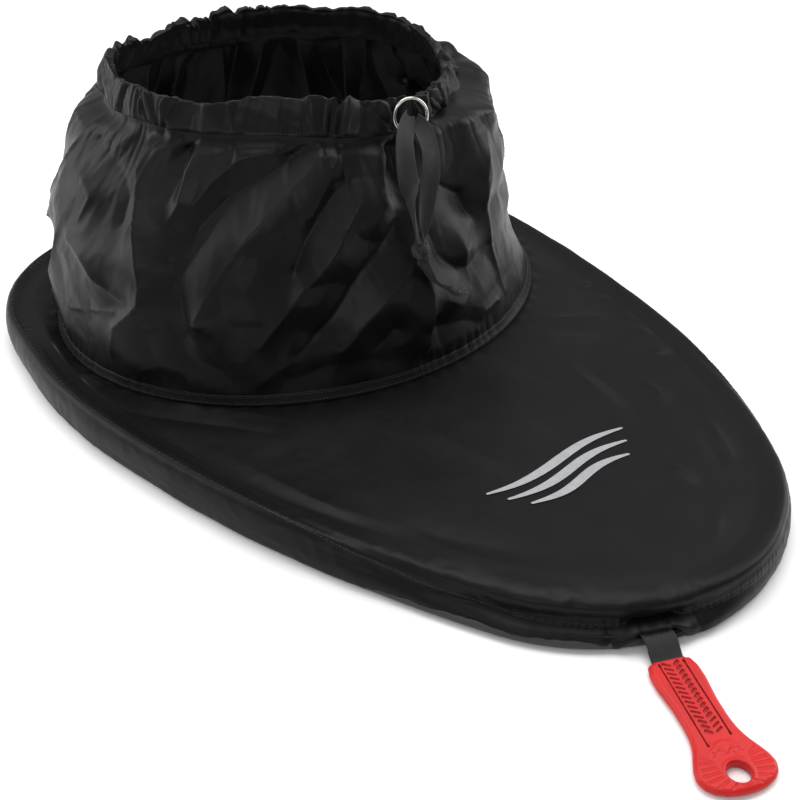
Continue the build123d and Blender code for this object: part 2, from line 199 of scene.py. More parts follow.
def stitches(name, line, normal, pitch=3.2, length=2.3, width=0.55, height=0.32, closed=True, slant=0.0, seed=1, sink=0.12):
    """Single thread stitches along a line of points on a surface, one small rounded bar each."""
    r = np.random.default_rng(seed)
    line, normal = np.asarray(line, float), np.asarray(normal, float)
    if closed:
        line, normal = np.vstack([line, line[:1]]), np.vstack([normal, normal[:1]])
    along = np.concatenate([[0], np.cumsum(np.linalg.norm(np.diff(line, axis=0), axis=1))])
    count = int(along[-1] / pitch)
    at = (np.arange(count) + 0.5) * along[-1] / count
    section = [(-0.5, -0.4), (-0.42, 0.5), (0.0, 1.0), (0.42, 0.5), (0.5, -0.4)]
    sizes = [(-0.5, 0.35, -0.5), (-0.34, 0.85, 0.55), (0.0, 1.0, 1.0), (0.34, 0.85, 0.55), (0.5, 0.35, -0.5)]
    verts, faces = [], []
    for s in at:
        p = np.array([np.interp(s, along, line[:, k]) for k in range(3)])
        q = np.array([np.interp(s + 0.6, along, line[:, k]) for k in range(3)])
        b = np.array([np.interp(s - 0.6, along, line[:, k]) for k in range(3)])
        n = np.array([np.interp(s, along, normal[:, k]) for k in range(3)])
        n /= np.linalg.norm(n)
        t = q - b
        t -= n * (t @ n)
        t /= max(np.linalg.norm(t), 1e-9)
        side = np.cross(n, t)
        a = slant + r.normal(0, 0.06)
        t, side = t * math.cos(a) + side * math.sin(a), side * math.cos(a) - t * math.sin(a)
        long = length * r.uniform(0.9, 1.08)
        base = len(verts)
        for (u, w, h) in sizes:
            for (x, z) in section:
                verts.append(p + t * (u * long) + side * (x * width * w)
                             + n * ((z * h if z > 0 else z * 0.5) * height - sink))
        m = len(section)
        for i in range(len(sizes) - 1):
            for j in range(m):
                k = (j + 1) % m
                faces.append((base + i * m + j, base + i * m + k, base + (i + 1) * m + k, base + (i + 1) * m + j))
        faces.append(tuple(base + j for j in range(m))[::-1])
        faces.append(tuple(base + (len(sizes) - 1) * m + j for j in range(m)))
    return make_mesh(name, verts, faces)


# ----------------------------------------------------------------- materials
class Nodes:
    """A small helper that wires a node material."""

    def __init__(self, name):
        self.mat = bpy.data.materials.new(name)
        self.mat.use_nodes = True
        self.t = self.mat.node_tree
        self.bsdf = self.t.nodes["Principled BSDF"]
        self.coord = self.t.nodes.new("ShaderNodeTexCoord")

    def node(self, kind, **sets):
        n = self.t.nodes.new(kind)
        for k, v in sets.items():
            if k.startswith("_"):
                setattr(n, k[1:], v)
            else:
                n.inputs[k.replace("_", " ")].default_value = v
        return n

    def link(self, a, b):
        self.t.links.new(a, b)

    def noise(self, scale, detail=3.0, rough=0.55, uv=False, stretch=None, distortion=0.0):
        n = self.node("ShaderNodeTexNoise", Scale=scale, Detail=detail, Roughness=rough, Distortion=distortion)
        src = self.coord.outputs["UV" if uv else "Object"]
        if stretch:
            m = self.node("ShaderNodeMapping")
            m.inputs["Scale"].default_value = stretch
            self.link(src, m.inputs["Vector"])
            src = m.outputs["Vector"]
        self.link(src, n.inputs["Vector"])
        return n.outputs["Fac"]

    def ramp(self, fac, stops):
        r = self.t.nodes.new("ShaderNodeValToRGB")
        e = r.color_ramp.elements
        e[0].position, e[0].color = stops[0][0], (*stops[0][1], 1)
        e[1].position, e[1].color = stops[-1][0], (*stops[-1][1], 1)
        for p, c in stops[1:-1]:
            x = e.new(p)
            x.color = (*c, 1)
        self.link(fac, r.inputs["Fac"])
        return r.outputs["Color"]

    def spread(self, fac, lo, hi, a=0.25, b=0.75):
        m = self.node("ShaderNodeMapRange")
        m.inputs["From Min"].default_value, m.inputs["From Max"].default_value = a, b
        m.inputs["To Min"].default_value, m.inputs["To Max"].default_value = lo, hi
        self.link(fac, m.inputs["Value"])
        return m.outputs["Result"]

    def math(self, op, a, b=None):
        m = self.t.nodes.new("ShaderNodeMath")
        m.operation = op
        for i, x in enumerate((a, b)):
            if x is None:
                continue
            if isinstance(x, (int, float)):
                m.inputs[i].default_value = x
            else:
                self.link(x, m.inputs[i])
        return m.outputs[0]

    def bump(self, height, strength, distance, normal=None):
        b = self.node("ShaderNodeBump", Strength=strength, Distance=distance)
        self.link(height, b.inputs["Height"])
        if normal is not None:
            self.link(normal, b.inputs["Normal"])
        return b.outputs["Normal"]

    def weave(self, pitch_u, pitch_v):
        """A plain weave's height in UV metres."""
        sep = self.t.nodes.new("ShaderNodeSeparateXYZ")
        self.link(self.coord.outputs["UV"], sep.inputs[0])
        u = self.math("MULTIPLY", sep.outputs[0], math.pi / pitch_u)
        v = self.math("MULTIPLY", sep.outputs[1], math.pi / pitch_v)
        su, sv = self.math("SINE", u), self.math("SINE", v)
        return self.math("MULTIPLY", su, sv), sep


def nylon(name, dark, light, rough=(0.36, 0.5), crinkle=0.35, sheen=0.06):
    """Coated nylon: dark, a satin coat, a fine weave and small creases pressed into the film."""
    n = Nodes(name)
    tone = n.noise(9, 4, 0.6)
    n.link(n.ramp(tone, [(0.3, dark), (0.72, light)]), n.bsdf.inputs["Base Color"])
    n.link(n.spread(n.noise(26, 4, 0.6), rough[0], rough[1]), n.bsdf.inputs["Roughness"])
    n.bsdf.inputs["Specular IOR Level"].default_value = 0.12
    n.bsdf.inputs["Sheen Weight"].default_value = sheen
    n.bsdf.inputs["Sheen Roughness"].default_value = 0.45
    n.bsdf.inputs["Coat Weight"].default_value = 0.015
    n.bsdf.inputs["Coat Roughness"].default_value = 0.32
    w, _ = n.weave(0.00042, 0.00042)
    fine = n.bump(w, 0.10, 0.00006)
    creases = n.noise(85, 5, 0.62, distortion=0.6)
    mid = n.bump(creases, crinkle, 0.0011, fine)
    folds = n.noise(30, 3, 0.5, distortion=0.8)
    n.link(n.bump(folds, crinkle * 0.8, 0.0022, mid), n.bsdf.inputs["Normal"])
    return n.mat


def thread_mat():
    n = Nodes("thread_black")
    n.link(n.ramp(n.noise(900, 2), [(0.3, (0.010, 0.010, 0.011)), (0.7, (0.028, 0.028, 0.030))]), n.bsdf.inputs["Base Color"])
    n.bsdf.inputs["Roughness"].default_value = 0.62
    n.bsdf.inputs["Sheen Weight"].default_value = 0.2
    n.link(n.bump(n.noise(2600, 1), 0.4, 0.0001), n.bsdf.inputs["Normal"])
    return n.mat


def tape_mat(name, across, dark, light, twill=True, sheen=0.35):
    """Woven tape: fine twill ridges across it, softer and matter than the coated cloth."""
    n = Nodes(name)
    sep = n.t.nodes.new("ShaderNodeSeparateXYZ")
    n.link(n.coord.outputs["UV"], sep.inputs[0])
    u = n.math("MULTIPLY", sep.outputs[0], 2 * math.pi / across)
    v = n.math("MULTIPLY", sep.outputs[1], 2 * math.pi / (across * 1.15))
    skew = n.math("ADD", u, v) if twill else v
    rib = n.math("SINE", skew)
    cross = n.math("SINE", n.math("SUBTRACT", u, v) if twill else u)
    height = n.math("ADD", rib, n.math("MULTIPLY", cross, 0.6))
    fuzz = n.noise(1500, 3)
    mixed = n.math("ADD", height, n.math("MULTIPLY", fuzz, 1.2))
    # the weave's height also sets the colour: painted shade in its hollows and painted highlight on its crests, mixed
    # with random fibre tone from the fuzz
    shade = n.spread(mixed, 0.0, 1.0, -1.2, 2.2)
    n.link(n.ramp(shade, [(0.1, dark), (0.9, light)]), n.bsdf.inputs["Base Color"])
    n.link(n.spread(n.noise(60, 3), 0.62, 0.8), n.bsdf.inputs["Roughness"])
    n.bsdf.inputs["Sheen Weight"].default_value = sheen
    n.bsdf.inputs["Sheen Roughness"].default_value = 0.5
    n.bsdf.inputs["Specular IOR Level"].default_value = 0.35
    n.link(n.bump(mixed, 0.8, across * 0.22), n.bsdf.inputs["Normal"])
    return n.mat


def nickel_mat():
    n = Nodes("nickel_plate")
    n.link(n.ramp(n.noise(120, 3), [(0.3, (0.42, 0.40, 0.37)), (0.7, (0.56, 0.54, 0.51))]), n.bsdf.inputs["Base Color"])
    n.bsdf.inputs["Metallic"].default_value = 1.0
    n.link(n.spread(n.noise(260, 3), 0.14, 0.26), n.bsdf.inputs["Roughness"])
    n.link(n.bump(n.noise(500, 2), 0.06, 0.0002), n.bsdf.inputs["Normal"])
    return n.mat


def rubber_mat():
    n = Nodes("red_rubber_moulded")
    body = n.ramp(n.noise(38, 3), [(0.3, (0.44, 0.006, 0.006)), (0.7, (0.50, 0.009, 0.008))])
    # painted shade: inside the moulded pockets the red is mixed toward a darker red, standing in for the shade in these
    # recesses
    pocket = n.node("ShaderNodeAttribute", _attribute_name="pocket")
    mix = n.node("ShaderNodeMix", _data_type="RGBA")
    n.link(pocket.outputs["Fac"], mix.inputs["Factor"])
    n.link(body, mix.inputs[6])
    mix.inputs[7].default_value = (0.27, 0.002, 0.005, 1)
    # painted shade: in the slits the red is mixed toward near black, standing in for the shade deep in these narrow
    # grooves
    slit = n.node("ShaderNodeAttribute", _attribute_name="slit")
    mix2 = n.node("ShaderNodeMix", _data_type="RGBA")
    n.link(slit.outputs["Fac"], mix2.inputs["Factor"])
    n.link(mix.outputs[2], mix2.inputs[6])
    mix2.inputs[7].default_value = (0.085, 0.002, 0.004, 1)
    n.link(mix2.outputs[2], n.bsdf.inputs["Base Color"])
    n.link(n.spread(n.noise(150, 3), 0.38, 0.50), n.bsdf.inputs["Roughness"])
    n.bsdf.inputs["Specular IOR Level"].default_value = 0.30
    n.bsdf.inputs["Subsurface Weight"].default_value = 0.05
    n.bsdf.inputs["Subsurface Radius"].default_value = (0.004, 0.001, 0.0008)
    n.bsdf.inputs["Subsurface Scale"].default_value = 0.5
    grain = n.bump(n.noise(1100, 2), 0.12, 0.00012)
    n.link(n.bump(n.noise(240, 3), 0.12, 0.0003, grain), n.bsdf.inputs["Normal"])
    return n.mat


def print_mat():
    n = Nodes("print_film_grey")
    n.link(n.ramp(n.noise(160, 4, 0.7), [(0.3, (0.24, 0.245, 0.26)), (0.75, (0.31, 0.315, 0.33))]), n.bsdf.inputs["Base Color"])
    n.link(n.spread(n.noise(90, 3), 0.42, 0.58), n.bsdf.inputs["Roughness"])
    w, _ = n.weave(0.0006, 0.0006)
    a = n.bump(w, 0.2, 0.00008)
    n.link(n.bump(n.noise(85, 4), 0.3, 0.0008, a), n.bsdf.inputs["Normal"])
    return n.mat


def cord_mat():
    n = Nodes("shock_cord_sheath")
    w = n.t.nodes.new("ShaderNodeTexWave")
    w.inputs["Scale"].default_value = 320
    w.inputs["Distortion"].default_value = 1.5
    n.link(n.coord.outputs["Object"], w.inputs["Vector"])
    # the braid's wave sets both colour and bump: painted shade in the grooves and painted highlight on the ridges
    n.link(n.ramp(w.outputs["Fac"], [(0.2, (0.008, 0.008, 0.009)), (0.8, (0.026, 0.026, 0.028))]), n.bsdf.inputs["Base Color"])
    n.bsdf.inputs["Roughness"].default_value = 0.6
    n.link(n.bump(w.outputs["Fac"], 0.6, 0.0003), n.bsdf.inputs["Normal"])
    return n.mat


MAT = {
    "tunnel_cloth": nylon("nylon_tunnel", (0.0034, 0.0034, 0.0037), (0.0052, 0.0052, 0.0056), (0.32, 0.44), 0.12, 0.012),
    "deck_cloth": nylon("nylon_deck", (0.0024, 0.0024, 0.0027), (0.0036, 0.0036, 0.0040), (0.38, 0.50), 0.09, 0.008),
    "thread": thread_mat(),
    "drawcord_tape": tape_mat("drawcord_twill", 0.0012, (0.0030, 0.0030, 0.0033), (0.0190, 0.0190, 0.0200), sheen=0.10),
    "webbing": tape_mat("strap_webbing", 0.0016, (0.0045, 0.0045, 0.005), (0.020, 0.020, 0.0215), twill=True, sheen=0.1),
    "nickel": nickel_mat(),
    "red_rubber": rubber_mat(),
    "print_film": print_mat(),
    "shock_cord": cord_mat(),
}


def finish_piece(ob, body, slot, *nodes):
    ob.data.materials.clear()
    ob.data.materials.append(MAT[slot])
    if body:
        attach(ob, body)
    if nodes:
        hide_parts(*nodes)
    return ob


# -------------------------------------------------------------------- cords
# The drawcord's two ends: routes in mm from the eyelet, outward and up.
EXIT = np.array([-50.5, 17.0, 263.5])
EYELET_AT = np.array([-55.5, 18.0, 264.5])       # middle of the eyelet's face
TAIL_HEAD = math.radians(-22.68)
TAIL_RIGHT = [(0.0, 0.0), (13.5, -6.5), (28.0, -27.0), (40.0, -60.0), (49.0, -93.0)]
TAIL_LEFT = [(0.0, 3.6), (16.5, -3.5), (32.0, -26.0), (44.0, -58.0), (53.0, -93.0)]


def route_line(name, points):
    """The smooth line that a route of control points makes."""
    cu = bpy.data.curves.new(name, "CURVE")
    cu.dimensions = "3D"
    cu.resolution_u = 24
    sp = cu.splines.new("NURBS")
    sp.points.add(len(points) - 1)
    for p, q in zip(sp.points, points):
        p.co = (*(np.array(q) * MM), 1)
    sp.order_u = 3
    sp.use_endpoint_u = True
    ob = bpy.data.objects.new(name, cu)
    me = bpy.data.meshes.new_from_object(ob)
    line = np.array([v.co for v in me.vertices], float) / MM
    bpy.data.meshes.remove(me)
    bpy.data.objects.remove(ob)
    bpy.data.curves.remove(cu)
    return line


def spaced_line(line, n):
    along = np.concatenate([[0], np.cumsum(np.linalg.norm(np.diff(line, axis=0), axis=1))])
    at = np.linspace(0, along[-1], n)
    return np.stack([np.interp(at, along, line[:, k]) for k in range(3)], axis=1), at


def ribbon(name, line, across, width, turn, cup, thick=0.8, n=150, cols=19, fold=None):
    """A woven tape that follows a line. across is its width's direction before it turns; turn, width and cup go along it."""
    pts, at = spaced_line(line, n)
    s = at / at[-1]
    tan = np.gradient(pts, axis=0)
    tan /= np.linalg.norm(tan, axis=1)[:, None]
    a = np.tile(np.array(across, float), (n, 1))
    a -= tan * (a * tan).sum(1)[:, None]
    a /= np.linalg.norm(a, axis=1)[:, None]
    b = np.cross(tan, a)
    ang = np.radians(turn(s))[:, None]
    a, b = a * np.cos(ang) + b * np.sin(ang), b * np.cos(ang) - a * np.sin(ang)
    q = np.linspace(-1, 1, cols)
    w = width(s)[:, None] / 2
    c = cup(s)[:, None]
    lift = c * (q[None, :] ** 2 - 0.35)
    if fold is not None:
        lift = lift + fold(s[:, None], q[None, :])
    # a curved tape is narrower across
    shrink = 1 / np.sqrt(1 + (1.1 * c / np.maximum(w, 1)) ** 2)
    g = pts[:, None, :] + a[:, None, :] * (q[None, :] * w * shrink)[..., None] + b[:, None, :] * lift[..., None]
    uu, vv = np.broadcast_to(q[None, :] * w, (n, cols)), np.broadcast_to(at[:, None], (n, cols))
    ob = grid_piece(name, g, closed=False, uv=(uu, vv))
    return thicken(ob, thick, 0.0), pts


out_dir = np.array([math.cos(TAIL_HEAD), math.sin(TAIL_HEAD), 0.0])
side_dir = np.array([-math.sin(TAIL_HEAD), math.cos(TAIL_HEAD), 0.0])
UP = np.array([0.0, 0.0, 1.0])


def tail_points(route, sway):
    return [EXIT + out_dir * o + UP * u + side_dir * sw for (o, u), sw in zip(route, sway)]


tail_r_line = route_line("route_right", tail_points(TAIL_RIGHT, (2.0, 7.0, 10.0, 2.0, -5.0)))
tail_l_line = route_line("route_left", tail_points(TAIL_LEFT, (-4.0, -13.0, -15.0, -13.0, -7.0)))

tail_r, path_r = ribbon(
    "drawcord_tail_right_tape", tail_r_line, side_dir,
    lambda s: np.interp(s, [0, 0.06, 0.16, 0.55, 0.85, 1], [12, 15.5, 17, 17, 15, 10]),
    lambda s: np.interp(s, [0, 0.12, 0.3, 0.5, 0.7, 0.88, 1], [30, 8, -14, 4, -6, -30, -70]),
    lambda s: np.interp(s, [0, 0.1, 0.3, 0.6, 0.85, 1], [5.0, 2.6, 1.2, 1.5, 3.0, 5.0]),
    fold=lambda s, q: 1.1 * np.sin(6.5 * s + 1.2 * q) * (1 - q * q),
)
tail_l, path_l = ribbon(
    "drawcord_tail_left_tape", tail_l_line, side_dir,
    lambda s: np.interp(s, [0, 0.06, 0.16, 0.55, 0.85, 1], [12, 15, 17, 17, 14, 10]),
    lambda s: np.interp(s, [0, 0.15, 0.4, 0.55, 0.66, 0.8, 1], [-30, -28, 4, 20, 70, 92, 110]),
    lambda s: np.interp(s, [0, 0.1, 0.3, 0.6, 0.85, 1], [5.0, 2.8, 1.6, 1.2, 3.0, 5.0]),
    fold=lambda s, q: 1.0 * np.sin(7.5 * s - 1.0 * q + 1) * (1 - q * q),
)
finish_piece(tail_r, "drawcord_tails", "drawcord_tape", "drawcord_tail_right")
finish_piece(tail_l, "drawcord_tails", "drawcord_tape", "drawcord_tail_left")

KNOT = np.array([-1.58, -0.98, 158.0]) - side_dir * 8.0 + UP * 3.0
END_O = KNOT + np.array([1.0, 1.0, -7.9])
TIE = END_O + 0.72 * np.array([24.5, 31.36, -42.2])
END_HEAD = math.radians(52.0)


def frames(pts, hint):
    tan = np.gradient(pts, axis=0)
    tan /= np.maximum(np.linalg.norm(tan, axis=1)[:, None], 1e-9)
    a = np.zeros_like(pts)
    prev = np.array(hint, float)
    for i, t in enumerate(tan):
        prev = prev - t * (prev @ t)
        prev = prev / max(np.linalg.norm(prev), 1e-9)
        a[i] = prev
    return tan, a, np.cross(tan, a)


def strand(pts, w, t, hint, cols=14, wobble=0.0, seed=3):
    """A closed bundle of tape round a line: an oval section w wide and t thick, with soft creases along it."""
    tan, a, b = frames(pts, hint)
    r = np.random.default_rng(seed)
    ph = np.linspace(0, 2 * np.pi, cols, endpoint=False)
    w = np.broadcast_to(np.asarray(w, float), (len(pts),))[:, None]
    t = np.broadcast_to(np.asarray(t, float), (len(pts),))[:, None]
    k = np.arange(len(pts))[:, None] * 0.35
    ruck = 1 + wobble * np.sin(3 * ph[None, :] + k + r.uniform(0, 6)) + 0.6 * wobble * np.sin(5 * ph[None, :] - 0.7 * k)
    return pts[:, None, :] + a[:, None, :] * (np.cos(ph) * w / 2 * ruck)[..., None] + b[:, None, :] * (np.sin(ph) * t / 2 * ruck)[..., None]


def strand_piece(name, parts):
    verts, faces, uvs = [], [], []
    for g in parts:
        base, (rows, cols) = len(verts), g.shape[:2]
        verts += g.reshape(-1, 3).tolist()
        faces += (grid_faces(rows, cols, True) + base).tolist()
        for end, flip in ((0, True), (rows - 1, False)):
            ring = [base + end * cols + j for j in range(cols)]
            faces.append(tuple(ring[::-1] if flip else ring))
        for i in range(rows):
            uvs += [(j * 1.1, i * 0.9) for j in range(cols)]
    return make_mesh(name, verts, faces, np.array(uvs) * MM)


# the overhand knot that ties both tails
k = np.linspace(0, 2 * np.pi, 130)
tref = np.stack([np.sin(k) + 2 * np.sin(2 * k), np.cos(k) - 2 * np.cos(2 * k), -np.sin(3 * k)], axis=1)
knot_pts = KNOT + (side_dir * 2.3)[None, :] * tref[:, :1] + (UP * 2.0)[None, :] * tref[:, 1:2] + (out_dir * 2.7)[None, :] * tref[:, 2:]
lead_in = spaced_line(np.array([KNOT + UP * 11 - out_dir * 1.5, KNOT + UP * 5, KNOT - UP * 1 + side_dir * 2]), 20)[0]
lead_out = spaced_line(np.array([KNOT + UP * 1 - side_dir * 2, KNOT - UP * 5, END_O - UP * 3]), 20)[0]
knot = strand_piece("drawcord_knot_tied", [
    strand(knot_pts, 7.4, 4.2, out_dir, 16, 0.07, 5),
    strand(lead_in, np.linspace(8, 6, 20), np.linspace(5, 4, 20), side_dir, 14, 0.09, 6),
    strand(lead_out, np.linspace(6, 9, 20), np.linspace(4, 5, 20), side_dir, 14, 0.09, 7),
])
finish_piece(knot, "drawcord_tails", "drawcord_tape", "drawcord_knot")

# the doubled end below the knot, folded over itself and bound at its tip
end_dir = np.array([math.cos(END_HEAD), math.sin(END_HEAD), 0.0])
end_side = np.array([-math.sin(END_HEAD), math.cos(END_HEAD), 0.0])
END_ROUTE = [(0.0, 0.0), (5.5, -13.0), (13.0, -22.5), (26.0, -28.5)]
end_line = route_line("route_end", [END_O + end_dir * o + UP * u for o, u in END_ROUTE])
end_tape, _ = ribbon(
    "drawcord_end_fold", end_line, end_side,
    lambda s: np.interp(s, [0, 0.12, 0.4, 0.62, 0.8, 1], [9, 16, 17, 13, 8, 5.5]),
    lambda s: np.interp(s, [0, 0.5, 1], [-38, -28, -20]),
    lambda s: np.interp(s, [0, 0.2, 0.5, 0.8, 1], [4, 2, 1.2, 2.4, 3.5]),
    fold=lambda s, q: 0.9 * np.sin(8 * s + q) * (1 - q * q), n=90,
)
end_under, _ = ribbon(
    "drawcord_end_under", end_line + np.array([0.6, -0.6, -1.4]), end_side,
    lambda s: np.interp(s, [0, 0.12, 0.4, 0.62, 0.8, 1], [9, 15, 16, 12.5, 8, 5.5]),
    lambda s: np.interp(s, [0, 0.5, 1], [-44, -36, -26]),
    lambda s: np.interp(s, [0, 0.2, 0.5, 0.8, 1], [3, 1.4, 0.8, 2.0, 3.2]), n=90,
)
finish_piece(end_tape, "drawcord_tails", "drawcord_tape", "drawcord_end")
finish_piece(end_under, "drawcord_tails", "drawcord_tape")

# the thread binding at the tip with its loose ends
tip_t = end_dir * math.cos(math.radians(-29)) + UP * math.sin(math.radians(-29))
tip_n = np.cross(tip_t, end_side)
parts = []
wind = np.linspace(0, 2 * np.pi * 5.2, 150)
coil = TIE + tip_t * (-3.2 + 6.0 * wind / wind[-1])[:, None] + end_side * (np.cos(wind) * 3.6)[:, None] + tip_n * (np.sin(wind) * 2.9)[:, None]
parts.append(strand(coil, 1.5, 1.3, tip_t, 8, 0.05, 8))
core = spaced_line(np.array([TIE - tip_t * 5, TIE, TIE + tip_t * 5.5]), 16)[0]
parts.append(strand(core, np.interp(np.arange(16), [0, 8, 15], [6.5, 6.0, 7.0]), 4.6, end_side, 14, 0.1, 9))
for i, (o, sd, u) in enumerate([(9, 3, 4), (8, -3.5, 2.5), (10, 0.5, -2), (6, 4, 6), (11, -1.5, 3)]):
    c = np.array([TIE + tip_t * 3, TIE + tip_t * (3 + o * 0.45) + end_side * sd * 0.4 + tip_n * u * 0.2,
                  TIE + tip_t * o + end_side * sd + tip_n * u])
    parts.append(strand(spaced_line(route_line(f"fray{i}", c.tolist()), 12)[0], 0.8, 0.7, tip_n, 6, 0.03, 20 + i))
tie = strand_piece("drawcord_end_binding", parts)
finish_piece(tie, "drawcord_tails", "drawcord_tape", "drawcord_end_tie")

# ------------------------------------------------------------- rim outline
TURNS = [32.83, 50.39, 36.03, 60.75]
RADII = [368.3, 160.7, 961.89, 179.04]


def half_outline(n_each=400):
    """One side of the rim outline from stern to bow: points and outward normals."""
    pts, nrm = [], []
    x = y = 0.0
    start = 0.0
    for r, t in zip(RADII, TURNS):
        a = np.radians(start + np.linspace(0, t, n_each, endpoint=False))
        a0 = math.radians(start)
        px = x + r * (math.cos(a0) - np.cos(a))
        py = y + r * (np.sin(a) - math.sin(a0))
        pts.append(np.stack([px, py], 1))
        nrm.append(np.stack([-np.cos(a), np.sin(a)], 1))
        a1 = math.radians(start + t)
        x, y = x + r * (math.cos(a0) - math.cos(a1)), y + r * (math.sin(a1) - math.sin(a0))
        start += t
    pts.append(np.array([[x, y]]))
    nrm.append(np.array([[1.0, 0.0]]))
    return np.vstack(pts), np.vstack(nrm)


hp, hn = half_outline()
hp[:, 0] -= MID
outline_p = np.vstack([hp, hp[-2:0:-1] * [1, -1]])
outline_n = np.vstack([hn, hn[-2:0:-1] * [1, -1]])
seg = np.linalg.norm(np.diff(np.vstack([outline_p, outline_p[:1]]), axis=0), axis=1)
outline_s = np.concatenate([[0], np.cumsum(seg)])
RIM_LENGTH = float(outline_s[-1])

N = 1200                      # columns round the rim
col_s = np.arange(N) * RIM_LENGTH / N
rp = np.stack([np.interp(col_s, outline_s, np.append(outline_p[:, k], outline_p[0, k])) for k in range(2)], 1)
rn = np.stack([np.interp(col_s, outline_s, np.append(outline_n[:, k], outline_n[0, k])) for k in range(2)], 1)
rn /= np.linalg.norm(rn, axis=1)[:, None]
rim_th = np.degrees(np.arctan2(rp[:, 1], rp[:, 0] - TUNNEL_C))       # direction seen from the tunnel

STERN = np.array([(15, 2), (12, .6), (8, .3), (4.5, .8), (2, 3), (.6, 7), (0, 12), (-.6, 18), (-.6, 24), (0, 29),
                  (1, 33), (2.6, 36.2), (5, 38.2), (8, 38.8), (12, 38.6), (18, 37.2), (26, 35.5)], float)
BOW = np.array([(15, 2), (12, .6), (8, .2), (4, .6), (1, 3), (-1, 7), (-0.5, 10.5), (3, 13), (8, 15), (10.5, 18),
                (10, 22), (9, 27), (9.6, 31.4), (12.4, 34.6), (17.5, 36.4), (26, 37.5), (40, 38)], float)
bow_w = smooth(60, 330, rp[:, 0]) * (1 - 0.9 * smooth(-60, 40, rp[:, 1]))
flare = np.interp(rim_th, [-180, -165, -150, -135, -120, -108, -97, -88, -76, -68, -59, -50, -40, -30, -20, -14, -8, 0, 5, 12, 17, 20, 25, 34, 41, 46, 60, 180],
                  [0, 3, 7, 8.5, 10, 10.5, 12, 14.5, 14, 11, 7, 4, 1, -2, -6.5, -7, -3, 0, 2, 3.5, 6, 8, 9.5, 9, 5.5, 3, 0, 0])    # how far the slack cloth stands out
flare = np.convolve(np.concatenate([flare[-60:], flare, flare[:60]]), np.hanning(61) / np.hanning(61).sum(), "same")[60:-60]
knob = np.arange(17.0)


def rim_profile(p):
    """Inset and height of the rim's section at profile place p (rows,) or (rows, N), for every column."""
    p = np.asarray(p, float)
    if p.ndim == 1:
        p = np.repeat(p[:, None], N, 1)
    si, sz = hermite(knob, STERN[:, 0], p), hermite(knob, STERN[:, 1], p)
    bi, bz = hermite(knob, BOW[:, 0], p), hermite(knob, BOW[:, 1], p)
    return si * (1 - bow_w) + bi * bow_w, sz * (1 - bow_w) + bz * bow_w


def rim_points(p):
    inset, z = rim_profile(p)
    inset = inset - flare[None] * smooth(-1.0, 3.0, p)[:, None] if np.ndim(p) == 1 else inset - flare[None] * smooth(-1.0, 3.0, p)
    xy = rp[None, :, :] - rn[None, :, :] * inset[..., None]
    return np.concatenate([xy, z[..., None]], axis=2)


seam_p = 12.3 - 4.2 * smooth(40, 300, rp[:, 0])     # where the deck cloth meets the side band

# wrinkles of the deck, mm: (from, to, half width, height)
DECK_FOLDS = [
    ((70.4, 112.8), (174.2, 90.6), 9, 1.6), ((60, 128), (150, 112), 10, -1.2), ((132.1, 149.7), (172.0, 138.4), 6, 1.4),
    ((234.6, 75.6), (264.8, 71.2), 5, 1.3), ((210.0, 148.0), (266.7, 118.2), 7, 1.5), ((216, 132), (262, 108), 7, -1.0),
    ((180.4, -171.3), (304.7, -121.2), 12, 1.6), ((170, -150), (290, -104), 14, -1.4), ((-135.4, -248.4), (-17.3, -153.6), 10, 1.5),
    ((-120, -262), (-5, -172), 9, -1.2), ((10, -215), (150, -180), 13, 1.5), ((-35.8, 253.7), (-30, 225), 5, 1.4),
    ((0, 252), (2, 222), 5, 1.3), ((40, 247), (44, 218), 5, 1.4), ((76, 232), (74, 206), 5, 1.2), ((111.8, 214.4), (106, 190), 5, 1.3),
    ((-190, -262), (-160, -252), 6, 1.5), ((-260, -262), (-225, -256), 6, 1.4), ((300, 60), (330, 20), 7, 1.0),
    ((60, -60), (170, -40), 16, 1.0), ((70, 20), (150, 25), 15, 0.8), ((250, -20), (300, -30), 9, 0.8), ((-320, 262), (-290, 255), 6, 1.4),
    ((-400, 215), (-385, 190), 6, 1.4), ((-440, -140), (-424, -130), 6, 1.5), ((-405, -205), (-388, -188), 6, 1.5),
    ((20, 120), (60, 170), 9, 1.2), ((34, 60), (90, 84), 12, -1.0), ((0, 150), (26, 200), 8, 1.1),
]


def deck_folds(x, y):
    out = np.zeros_like(x)
    for (ax, ay), (bx, by), w, h in DECK_FOLDS:
        dx, dy = bx - ax, by - ay
        long = math.hypot(dx, dy)
        t = ((x - ax) * dx + (y - ay) * dy) / long
        d = ((x - ax) * -dy + (y - ay) * dx) / long + 0.06 * w * np.sin(t / long * 7)
        along = smooth(-0.15 * long, 0.35 * long, t) * (1 - smooth(0.65 * long, 1.15 * long, t))
        out += 1.55 * h * along * np.exp(-np.abs(d / w) ** 1.25)
    return out


# ---------------------------------------------------------- tunnel surface
SEC_Z = [20.0, 38.0, 90.0, 140.0, 180.0, 205.0, 225.0, 240.0, 248.0]
SEC_A = [229.0, 227.0, 219.0, 209.0, 198.0, 188.0, 178.0, 169.0, 165.0]
SEC_B = [251.0, 249.0, 240.0, 229.0, 212.0, 197.0, 183.0, 171.0, 165.0]
SEC_C = [261.0, 261.0, 262.0, 263.0, 265.0, 266.0, 267.0, 267.75, 267.75]


